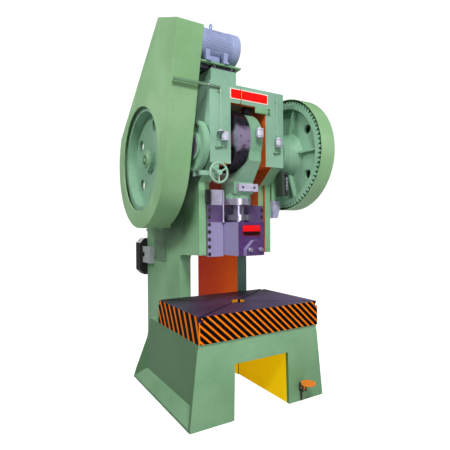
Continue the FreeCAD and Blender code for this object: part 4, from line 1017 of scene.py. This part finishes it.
@dataclass
class OilCups(Assembly):
    """Lids and bands of the oil cups."""

    largest: float = 0.028

    def build(self) -> None:
        """Dress the two housing cups and the rod's own cup."""
        low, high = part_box("oil_cups")
        radius = min((high.y - low.y) / 2, self.largest)
        for side, name in ((-1, "left"), (1, "right")):
            centre = (side * (high.x - radius), low.y + radius, high.z)
            self._dress(name, centre, radius, high.z - low.z, "frame")
        low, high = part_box("rod_oil_cup")
        centre = ((low.x + high.x) / 2, low.y + radius, high.z)
        self._dress("rod", centre, radius, high.z - low.z, "rod")

    def _dress(self, name: str, centre: Point, radius: float, tall: float,
               body: str) -> None:
        """Lid with its button on top, and two rolled bands round the body."""
        x, y, z = centre
        lid = MAKER.turned("cup_lid_" + name, (x, y, z - 0.0005), Axis.Z.vector,
                           ((radius * 1.04, 0.005), (radius * 0.6, 0.004),
                            (radius * 0.22, 0.008)), 40, 0.0012)
        self.place(lid, "cup", "bright_steel", body)
        bands = [MAKER.torus("cup_band_%s_%d" % (name, number), (x, y, z - share * tall),
                             Axis.Z.vector, radius, 0.0016)
                 for number, share in enumerate((0.14, 0.86))]
        self.mount("cup_bands_" + name, bands, "dark_steel", "bright_steel", body)


@dataclass
class Motor(Assembly):
    """Cooling fins, end lips, cowl grille, lifting eye, box, feet and bolts of the motor."""

    fins: int = 34
    fin_arc: float = 250.0
    fin_tall: float = 0.0024
    fin_thick: float = 0.0022

    def build(self) -> None:
        """Make every motor fitting."""
        self.low, self.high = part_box("motor_body")
        cowl_low, cowl_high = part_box("motor_fan_cowl")
        _, self.along, self.rise = centre_of("motor_shaft")
        self.radius = (cowl_high.z - cowl_low.z) / 2
        self._eye()
        self._ribs(cowl_low.x)
        self._grille(cowl_high.x)
        self._terminal_box()
        self._feet()
        self._bolts()

    def _eye(self) -> None:
        """Forged lifting eye on its pad."""
        across = self.low.x + (self.high.x - self.low.x) * 0.52
        base = self.rise + self.radius - 0.008
        pad = MAKER.turned("eye_pad", (across, self.along, base), Axis.Z.vector,
                           ((0.020, 0.012), (0.012, 0.010)), 32, 0.0015)
        ring = MAKER.torus("eye_ring", (across, self.along, base + 0.038), Axis.X.vector,
                           0.019, 0.0065, 40)
        self.mount("lifting_eye", (pad, ring), "motor", "motor_paint")

    def _ribs(self, cowl_left: float) -> None:
        """Shallow fins along the upper body, and a lip where the cowl fits over."""
        radius = self.radius * 0.953
        half = self.fin_thick / 2
        first = MAKER.block("rib", (self.low.x + 0.035, self.along - half,
                                    self.rise + radius - 0.004),
                            (cowl_left - 0.012, self.along + half,
                             self.rise + radius + self.fin_tall), 0.0006, 1)
        pivot = Vector((0, self.along, self.rise))
        angles = [math.radians(self.fin_arc * (number / self.fins - 0.5))
                  for number in range(1, self.fins)]
        turns = [Matrix.Translation(pivot) @ Matrix.Rotation(angle, 4, "X")
                 @ Matrix.Translation(-pivot) for angle in angles]
        self.row("motor_ribs", first, turns, "motor", "motor_paint")
        lip = MAKER.torus("cowl_lip", (cowl_left + 0.003, self.along, self.rise),
                          Axis.X.vector, self.radius - 0.0012, 0.003, 64)
        shield = MAKER.torus("shield_lip", (self.low.x + 0.020, self.along, self.rise),
                             Axis.X.vector, radius - 0.001, 0.004, 64)
        self.mount("motor_lips", (lip, shield), "motor", "motor_paint")

    def _grille(self, end: float) -> None:
        """Concentric guard rings and spokes in the cowl's end."""
        rings = [MAKER.torus("grille_%d" % number, (end - 0.001, self.along, self.rise),
                             Axis.X.vector, 0.022 + 0.016 * number, 0.0026)
                 for number in range(5)]
        spokes = []
        for number in range(6):
            angle = math.pi * number / 3
            reach = Vector((0, math.cos(angle), math.sin(angle)))
            start = Vector((end - 0.001, self.along, self.rise)) + reach * 0.02
            spokes.append(MAKER.rod("grille_spoke_%d" % number, start, reach, 0.068, 0.0028,
                                    12))
        self.mount("cowl_grille", rings + spokes, "knob", "knob_black")

    def _terminal_box(self) -> None:
        """Terminal box on the back of the body, with its gland."""
        left = self.low.x + 0.075
        back = self.along + self.radius * 0.93
        box = MAKER.block("terminal_box", (left, back - 0.05, self.rise - 0.052),
                          (left + 0.105, back + 0.012, self.rise + 0.026), 0.006, 3)
        lid = MAKER.block("terminal_lid", (left + 0.004, back + 0.012, self.rise - 0.047),
                          (left + 0.101, back + 0.018, self.rise + 0.021), 0.003, 2)
        self.mount("terminal_box", (box, lid), "motor", "motor_paint")
        first = MAKER.screw("terminal_screw", (left + 0.012, back + 0.018,
                                               self.rise - 0.039),
                            Axis.Y.vector, 0.0035, 0.003)
        self.row("terminal_screws", first, [(0.081, 0, 0), (0, 0, 0.052), (0.081, 0, 0.052)],
                 "bright", "bright_steel")
        gland = MAKER.turned("terminal_gland", (left + 0.055, back - 0.018,
                                                self.rise - 0.052),
                             -Axis.Z.vector, ((0.013, 0.010), (0.010, 0.012)), 24, 0.001)
        self.place(gland, "knob", "knob_black")

    def _feet(self) -> None:
        """Cast web between the front feet, and the dark slide rail under the plate."""
        plate_low, plate_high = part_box("motor_plate")
        front = plate_low.y + 0.020
        web = MAKER.block("foot_web", (self.low.x + 0.075, front, plate_high.z),
                          (self.low.x + 0.165, front + 0.030, plate_high.z + 0.052),
                          0.006, 3)
        self.place(web, "motor", "motor_paint")
        seat_low, seat_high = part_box("motor_seat")
        rail = MAKER.block("slide_rail", (seat_low.x + 0.004, seat_low.y + 0.006,
                                          seat_high.z - 0.0005),
                           (seat_high.x - 0.004, seat_high.y - 0.006, plate_low.z + 0.0005),
                           0.002)
        self.place(rail, "dark_steel", "bright_steel")
        block = MAKER.block("rail_stop", (plate_low.x + 0.012, plate_low.y + 0.030,
                                          plate_low.z - 0.034),
                            (seat_low.x - 0.008, plate_low.y + 0.075, plate_low.z), 0.004)
        self.place(block, "dark_steel", "bright_steel")

    def _bolts(self) -> None:
        """Hexagon bolts through the motor's feet into its plate."""
        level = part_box("motor_plate")[1].z + 0.014
        first = MAKER.bolt("foot_bolt", (self.low.x + 0.060, self.along - 0.098, level),
                           Axis.Z.vector, 0.009, 0.010)
        self.row("foot_bolts", first, [(0.135, 0, 0), (0, 0.196, 0), (0.135, 0.196, 0)],
                 "bright", "bright_steel")


@dataclass
class Guards(Assembly):
    """Rolled window edge and screws of the belt guard, the gear guard and its bar."""

    lip: float = 0.004
    window: float = 0.448
    screw_circle: float = 0.06

    def build(self) -> None:
        """Make the guards' small parts."""
        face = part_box("belt_guard")[0].x
        _, along, rise = centre_of("flywheel")
        lip = MAKER.torus("window_lip", (face + self.lip, along, rise), Axis.X.vector,
                          self.window + 0.001, self.lip, 128)
        self.place(lip, "sheet", "body_paint")
        self._window_screws(face, along, rise)
        self._rim_screws()
        self._bar_bolt()

    def _window_screws(self, face: float, along: float, rise: float) -> None:
        """Round-head screws that hold the guard's back stiffener."""
        radius = self.window + self.screw_circle
        screws = []
        for number in range(8):
            angle = math.tau * (number + 0.5) / 8
            spot = (face + 0.007, along + radius * math.cos(angle),
                    rise + radius * math.sin(angle))
            screws.append(MAKER.turned("guard_screw_%d" % number, spot, -Axis.X.vector,
                                       ((0.008, 0.0035), (0.005, 0.002)), 20, 0.0008))
        self.mount("guard_screws", screws, "sheet", "body_paint")

    def _rim_screws(self) -> None:
        """Small screws round the lower half of the gear guard's rim."""
        guard_low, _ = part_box("gear_guard")
        _, along, rise = centre_of("bull_gear")
        radius = rise - guard_low.z - 0.003
        screws = []
        for number in range(1, 5):
            angle = math.radians(200 + 28 * number)
            outward = Vector((0, math.cos(angle), math.sin(angle)))
            spot = Vector((guard_low.x + 0.02, along, rise)) + outward * (radius + 0.0005)
            screws.append(MAKER.turned("rim_screw_%d" % number, spot, outward,
                                       ((0.006, 0.0012), (0.004, 0.0008)), 16, 0.0004))
        self.mount("rim_screws", screws, "sheet", "body_paint")

    def _bar_bolt(self) -> None:
        """Bolts that hold the guard's flat bar to the housing."""
        low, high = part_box("guard_bar")
        seat = (high.x - 0.022, low.y, (low.z + high.z) / 2)
        first = MAKER.bolt("bar_bolt", seat, -Axis.Y.vector, 0.0058, 0.006)
        self.row("bar_bolts", first, [(-0.075, 0, 0)], "bright", "bright_steel")


@dataclass
class SlideFittings(Assembly):
    """Plates and screws on the slide, the rod and the covers."""

    nose: float = 0.015
    plate_half: float = 0.085
    plate_low: float = 1.315
    plate_high: float = 1.401

    def build(self) -> None:
        """Make the fittings."""
        self._plate()
        self._stud_bar()
        self._rod_screws()
        self._collar_screws()
        self._nose_gap_shadow()
        self._bolt_shadow_discs()
        self._cap_bolts()

    def _plate(self) -> None:
        """Blank two-colour plate on the slide's face, with its screws."""
        low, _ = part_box("slide")
        corner_low = (-self.plate_half, low.y - 0.003, self.plate_low)
        corner_high = (self.plate_half, low.y, self.plate_high)
        plate = MAKER.block("slide_plate", corner_low, corner_high, 0.0015)
        finish = BorderedPlate("red_black_plate", corner_low, corner_high,
                               srgb(228, 16, 26), srgb(38, 6, 12), srgb(150, 24, 40),
                               0.004, 0.42).make()
        fit(plate, finish, "plate_red", "ram")
        first = MAKER.turned("plate_screw", (-0.074, corner_low[1] + 0.0005, 1.325),
                             -Axis.Y.vector, ((0.005, 0.002), (0.003, 0.001)), 20, 0.0005)
        self.row("plate_screws", first, [(0.148, 0, 0), (0, 0, 0.066), (0.148, 0, 0.066)],
                 "dark_steel", "bright_steel", "ram")

    def _stud_bar(self) -> None:
        """Thin upright guide bar behind the screw's left side, standing in the slide."""
        _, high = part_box("slide")
        bar = MAKER.turned("guide_stud", (-0.136, 0.0, high.z - 0.0005), Axis.Z.vector,
                           ((0.014, 0.012), (0.008, 0.236), (0.006, 0.010)), 24, 0.0012)
        self.place(bar, "bright", "bright_steel", "ram")

    def _rod_screws(self) -> None:
        """Socket screws in the clamp plate."""
        low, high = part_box("clamp_plate")
        middle = (low.z + high.z) / 2
        span = high.x - low.x
        holes = []
        for share in (0.2, 0.8):
            spot = (low.x + span * share, low.y + 0.0002, middle)
            holes.append(MAKER.turned("clamp_screw_%d" % (share * 100), spot,
                                      -Axis.Y.vector, ((0.009, 0.004), (0.0055, -0.003)),
                                      24, 0.0006))
        self.mount("clamp_screws", holes, "dark_steel", "bright_steel", "rod")

    def _collar_screws(self) -> None:
        """Radial holes with bright rims round the lock ring."""
        low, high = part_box("lock_collar")
        radius = (high.x - low.x) / 2
        middle = (low.z + high.z) / 2 - 0.012
        screws = []
        for number in range(6):
            angle = math.radians(60 * number - 104)
            outward = Vector((math.cos(angle), math.sin(angle), 0))
            spot = outward * (radius - 0.003)
            spot.z = middle
            spot.x += (low.x + high.x) / 2
            screws.append(MAKER.turned("collar_hole_%d" % number, spot, outward,
                                       ((0.011, 0.0045), (0.008, -0.003)), 24, 0.0005))
        self.mount("collar_holes", screws, "dark_steel", "bright_steel", "rod")

    def _bolt_shadow_discs(self) -> None:
        """Thin black discs round the bolts of the gib covers, dark washers that paint the
        bolts' shadows.
        """
        shadow_discs = []
        for number, (low, high) in enumerate(islands("gib_bolts")):
            middle = (low + high) / 2
            radius = (high.x - low.x) / 2 + 0.006
            shadow_discs.append(MAKER.rod("bolt_shadow_disc_%d" % number,
                                   (middle.x, high.y - 0.0004, middle.z), -Axis.Y.vector,
                                   0.0016, radius, 28, 0.0003))
        self.mount("bolt_shadow_discs", shadow_discs, "knob", "gear_steel")

    def _nose_gap_shadow(self) -> None:
        """Black block on the left plate's nose beside the stop block, painting the shadow in
        the recess there.
        """
        block = MAKER.block("nose_gap_shadow", (-0.294, self.nose - 0.014, 1.568),
                            (-0.250, self.nose, 1.682), 0.003)
        self.place(block, "knob", "knob_black")

    def _cap_bolts(self) -> None:
        """Cap bolts on both sides of the connecting rod's big end."""
        low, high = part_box("conrod_cap")
        across = (low.x + high.x) / 2
        bolts = [MAKER.bolt("cap_bolt_%d" % side, (across, side * 0.190, low.z + 0.142),
                            Vector((0, side * 0.8, 1)), 0.014, 0.016)
                 for side in (-1, 1)]
        self.mount("cap_bolts", bolts, "bright", "bright_steel", "rod")


@dataclass
class Column(Assembly):
    """Cover panel, screws and dark latch on the side frames; switchgear fittings."""

    cover: tuple[float, ...] = (0.690, 0.985, 1.060, 1.262)
    latch: tuple[float, ...] = (-0.160, -0.070, 1.640, 1.846)
    spring_coils: int = 9
    spring_pitch: float = 0.012
    tread_pitch: float = 0.013
    tie_levels: tuple[float, ...] = (1.36, 1.50, 1.64)
    tie_back: float = 1.18

    def build(self) -> None:
        """Make the column's fittings."""
        self._cover()
        self._latch()
        self._cabinet()
        self._isolator()
        self._tie_bolts()
        self._pedal()

    def _cover(self) -> None:
        """Shallow access cover with a rounded top on the left plate."""
        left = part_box("side_frame_left")[0].x
        front, back, low, high = self.cover
        cover = MAKER.block("side_cover", (left - 0.006, front, low), (left, back, high),
                            0.005, 3)
        self.place(cover, "bar", "body_paint")
        inset = 0.022
        first = MAKER.screw("cover_screw", (left - 0.006, front + inset, low + inset),
                            -Axis.X.vector, 0.008, 0.006)
        long, tall = back - front - 2 * inset, high - low - 2 * inset
        self.row("cover_screws", first, [(0, long, 0), (0, 0, tall), (0, long, tall)],
                 "enamel", "body_paint")
        stud = MAKER.bolt("side_bolt", (left, 0.845, 1.372), -Axis.X.vector, 0.011, 0.012)
        self.row("side_bolts", stud, [(0, -0.052, 0), (0, -0.130, 0.018)], "enamel",
                 "body_paint")

    def _latch(self) -> None:
        """Dark clutch latch block with its spring and link beside the right plate."""
        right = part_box("side_frame_right")[1].x
        front, back, low, high = self.latch
        block = MAKER.block("latch_block", (right, front, low), (right + 0.062, back, high),
                            0.006, 3)
        self.place(block, "bracket", "body_paint")
        across, along = right + 0.031, front - 0.015
        spring = [MAKER.torus("coil_%d" % number,
                              (across, along, low + 0.050 + number * self.spring_pitch),
                              Vector((0.12, 0, 1)), 0.011, 0.003, 24)
                  for number in range(self.spring_coils)]
        self.mount("latch_spring", spring, "bright", "bright_steel")
        pin = MAKER.turned("spring_pin", (across, along, low + 0.032), Axis.Z.vector,
                           ((0.014, 0.008), (0.005, 0.128), (0.012, 0.010)), 24, 0.001)
        arm = MAKER.block("spring_arm", (right + 0.020, along - 0.013, low + 0.172),
                          (right + 0.042, along + 0.025, low + 0.182), 0.001)
        self.mount("spring_link", (pin, arm), "dark_steel", "bright_steel")
        box_low, box_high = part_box("clutch_latch_box")
        seat = (box_low.x + 0.016, box_low.y, box_high.z - 0.024)
        first = MAKER.screw("latch_screw", seat, -Axis.Y.vector, 0.006, 0.005)
        self.row("latch_screws", first, [(0.040, 0, 0)], "bright", "bright_steel")

    def _cabinet(self) -> None:
        """Lock plate of the door, and gland plate and glands under the cabinet."""
        low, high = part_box("cabinet_door")
        body_low, body_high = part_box("control_cabinet")
        middle = (low.z + high.z) / 2
        plate = MAKER.block("lock_plate", (low.x + 0.028, high.y - 0.0035, middle - 0.034),
                            (low.x + 0.056, high.y - 0.0002, middle + 0.034), 0.0015)
        self.place(plate, "bright", "bright_steel", "door")
        gasket = MAKER.block("cabinet_gland_plate",
                             (body_low.x + 0.070, body_low.y + 0.025, body_low.z - 0.003),
                             (body_high.x - 0.040, body_high.y - 0.025, body_low.z + 0.001),
                             0.001)
        self.place(gasket, "grey", "box_grey")
        gland = MAKER.turned("cabinet_gland", (body_low.x + 0.115, (body_low.y
                                                                    + body_high.y) / 2,
                                               body_low.z - 0.003), -Axis.Z.vector,
                             ((0.014, 0.008), (0.011, 0.014)), 24, 0.001)
        self.row("cabinet_glands", gland, [(0.045, 0, 0)], "knob", "knob_black")

    def _isolator(self) -> None:
        """Lid screws, the gland and a collar round the isolator's knob."""
        low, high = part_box("isolator_box")
        _, along, rise = centre_of("isolator_knob")
        first = MAKER.screw("isolator_screw", (low.x, low.y + 0.014, low.z + 0.014),
                            -Axis.X.vector, 0.005, 0.003)
        tall = high.z - low.z - 0.028
        long = high.y - low.y - 0.028
        self.row("isolator_screws", first, [(0, long, 0), (0, 0, tall), (0, long, tall)],
                 "bright", "bright_steel")
        collar = MAKER.torus("isolator_collar", (low.x, along, rise), Axis.X.vector, 0.026,
                             0.002)
        self.place(collar, "knob", "knob_black")
        gland = MAKER.turned("isolator_gland", ((low.x + high.x) / 2, along, low.z),
                             -Axis.Z.vector, ((0.013, 0.008), (0.010, 0.012)), 24, 0.001)
        self.place(gland, "knob", "knob_black")

    def _tie_bolts(self) -> None:
        """Bolt heads on the side frames, over the tie plates' ends."""
        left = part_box("side_frame_left")[0].x
        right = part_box("side_frame_right")[1].x
        bolts = []
        for face, axis in ((left, -Axis.X.vector), (right, Axis.X.vector)):
            for level in self.tie_levels:
                bolts.append(MAKER.bolt("tie_bolt_%d_%d" % (face * 100, level * 100),
                                        (face, self.tie_back, level), axis, 0.013, 0.014))
        self.mount("tie_bolts", bolts, "enamel", "body_paint")

    def _pedal(self) -> None:
        """Raised tread ribs of the pedal's pad, and the stem and screws of its bracket."""
        low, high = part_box("foot_pedal")
        radius = (high.x - low.x) / 2
        across = (low.x + high.x) / 2
        along = low.y + radius
        rib = 0.0025
        ribs = []
        for number in range(-3, 4):
            offset = number * self.tread_pitch
            half = math.sqrt((radius - 0.008) ** 2 - offset ** 2)
            ribs.append(MAKER.block("tread_%d" % number,
                                    (across - half, along + offset - rib, high.z - 0.0005),
                                    (across + half, along + offset + rib, high.z + 0.002),
                                    0.0008, 1))
        self.mount("pedal_tread", ribs, "pedal", "pedal_paint", "pedal")
        bracket_low, bracket_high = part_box("pedal_bracket")
        middle = (bracket_low.x + bracket_high.x) / 2
        stem = MAKER.block("pedal_stem", (middle - 0.007, bracket_high.y - 0.012, 0.004),
                           (middle + 0.007, bracket_high.y, bracket_low.z + 0.012), 0.002)
        self.place(stem, "bracket", "black_paint")
        first = MAKER.screw("pedal_screw", (bracket_low.x + 0.005, bracket_high.y - 0.009,
                                            bracket_low.z + 0.010), -Axis.Y.vector,
                            0.004, 0.003)
        self.row("pedal_screws", first, [(0, 0, 0.040)], "bright", "bright_steel")


@dataclass
class Wheels(Assembly):
    """Shaft cap of the flywheel, bolt of the brake band and bolts of the gear's retainer."""

    hub_face: float = -0.572
    bolt_circle: float = 0.84

    def build(self) -> None:
        """Make the wheels' fittings."""
        self._flywheel()
        self._brake()
        self._retainer_bolts()

    def _flywheel(self) -> None:
        """Stepped cap over the shaft's end in the flywheel's hub."""
        _, along, rise = centre_of("back_shaft")
        cap = MAKER.turned("shaft_cap", (self.hub_face, along, rise), -Axis.X.vector,
                           ((0.070, 0.008), (0.060, 0.008), (0.022, 0.004)), 48, 0.003)
        self.place(cap, "cap", "wheel_paint", "countershaft")

    def _brake(self) -> None:
        """Tension bolt of the brake band."""
        band_low, band_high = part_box("brake_band")
        across = (band_low.x + band_high.x) / 2
        pin = MAKER.turned("band_bolt", (across, -0.03, band_low.z + 0.012),
                           Vector((0, 1, 0)), ((0.012, 0.008), (0.006, 0.060),
                                               (0.013, 0.010)), 24, 0.001)
        self.place(pin, "bright", "bright_steel")

    def _retainer_bolts(self) -> None:
        """Bolts that hold the gear's retainer on the crank."""
        low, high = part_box("gear_retainer")
        _, along, rise = centre_of("gear_retainer")
        radius = (high.y - low.y) / 2 * self.bolt_circle
        bolts = []
        for number in range(6):
            angle = math.tau * number / 6
            spot = (high.x, along + radius * math.cos(angle),
                    rise + radius * math.sin(angle))
            bolts.append(MAKER.bolt("retainer_bolt_%d" % number, spot, Axis.X.vector, 0.010,
                                    0.009))
        self.mount("retainer_bolts", bolts, "bright", "bright_steel", "crank")


# ---------------------------------------------------------------- studio
@dataclass
class Studio:
    """Pale floor, soft lights and the camera."""

    camera_place: Point = (-1.742, -2.725, 1.402)
    camera_yaw: float = 30.75
    camera_roll: float = -0.4
    lens: float = 31.48
    floor_glow: float = 1.5
    floor_share: float = 0.72
    sky_light: float = 0.34
    sky_seen: float = 1.35

    def build(self) -> None:
        """Set the stage."""
        self._floor()
        self._lights()
        self._world()
        self._camera()
        bpy.context.scene.view_settings.view_transform = "Standard"

    def _floor(self) -> None:
        """A wide pale floor."""
        MAKER.clear()
        bpy.ops.mesh.primitive_plane_add(size=80, location=(0, 0, 0))
        floor = MAKER.adopt("floor")
        shader = Shader("floor_white")
        floor.data.materials.append(shader.finish(
            base_color=srgb(205, 205, 205), roughness=0.95, specular_ior_level=0.0))
        nodes, links = shader.tree.nodes, shader.tree.links
        matt = next(node for node in nodes if node.type == "BSDF_PRINCIPLED")
        end = next(node for node in nodes if node.type == "OUTPUT_MATERIAL")
        seen = shader.node("ShaderNodeLightPath", output="Is Camera Ray")
        glow = shader.node("ShaderNodeEmission", {}, {"Strength": self.floor_glow})
        sheet = shader.node("ShaderNodeMixShader", {},
                            {0: seen * self.floor_share,
                             1: Value(shader, matt.outputs[0]), 2: glow})
        links.new(sheet.socket, end.inputs["Surface"])

    @staticmethod
    def _lamp(name: str, place: Point, target: Point, size: float, power: float,
              beam: float = 180.0) -> None:
        """A square soft lamp aimed at a point, its beam's full angle in degrees."""
        lamp = bpy.data.lights.new(name, "AREA")
        lamp.size = size
        lamp.energy = power
        lamp.spread = math.radians(beam)
        holder = bpy.data.objects.new(name, lamp)
        bpy.context.scene.collection.objects.link(holder)
        holder.location = place
        aim = Vector(target) - Vector(place)
        holder.rotation_euler = aim.to_track_quat("-Z", "Y").to_euler()

    def _lights(self) -> None:
        """Key from the front, a softer one from the left, and a rim from behind."""
        middle = (0.0, 0.1, 1.5)
        self._lamp("key", (-1.5, -3.7, 5.0), middle, 1.1, 190)
        self._lamp("upper_left", (-4.6, -0.8, 4.4), (-0.6, 0.4, 2.3), 0.9, 15, 60)
        self._lamp("right", (4.6, -2.6, 3.0), middle, 2.0, 30)
        self._lamp("back", (0.3, 6.0, 3.8), middle, 2.4, 130)
        self._lamp("far_right", (5.2, 2.2, 3.0), middle, 2.0, 90)
        self._lamp("inner", (-0.6, -2.6, 1.5), (0.1, 0.5, 1.0), 0.6, 2.5, 70)

    def _world(self) -> None:
        """White surroundings that light the machine a little less than they show."""
        world = bpy.data.worlds.new("surroundings")
        bpy.context.scene.world = world
        world.use_nodes = True
        tree = world.node_tree
        tree.nodes.clear()
        seen = tree.nodes.new("ShaderNodeLightPath")
        power = tree.nodes.new("ShaderNodeMix")
        power.inputs[2].default_value = self.sky_light
        power.inputs[3].default_value = self.sky_seen
        sky = tree.nodes.new("ShaderNodeBackground")
        end = tree.nodes.new("ShaderNodeOutputWorld")
        tree.links.new(seen.outputs["Is Camera Ray"], power.inputs[0])
        tree.links.new(power.outputs[0], sky.inputs["Strength"])
        tree.links.new(sky.outputs[0], end.inputs["Surface"])

    def _camera(self) -> None:
        """Camera at standing height, to the front left of the machine."""
        lens = bpy.data.cameras.new("camera")
        lens.lens = self.lens
        lens.sensor_width = 36.0
        lens.clip_end = 200.0
        holder = bpy.data.objects.new("camera", lens)
        bpy.context.scene.collection.objects.link(holder)
        holder.matrix_world = (
            Matrix.Translation(Vector(self.camera_place))
            @ Matrix.Rotation(-math.radians(self.camera_yaw), 4, "Z")
            @ Matrix.Rotation(math.radians(90), 4, "X")
            @ Matrix.Rotation(math.radians(self.camera_roll), 4, "Z"))
        bpy.context.scene.camera = holder


def main() -> None:
    """Dress the frame, build every sub-assembly in order and set the studio."""
    logging.basicConfig(level=logging.INFO, format="%(name)s: %(message)s")
    palette = Palette()
    palette.dress()
    for assembly in (Head(palette), OilCups(palette), Motor(palette), Guards(palette),
                     SlideFittings(palette), Column(palette), Wheels(palette)):
        assembly.build()
    Studio().build()


if __name__ == "__main__":
    main()
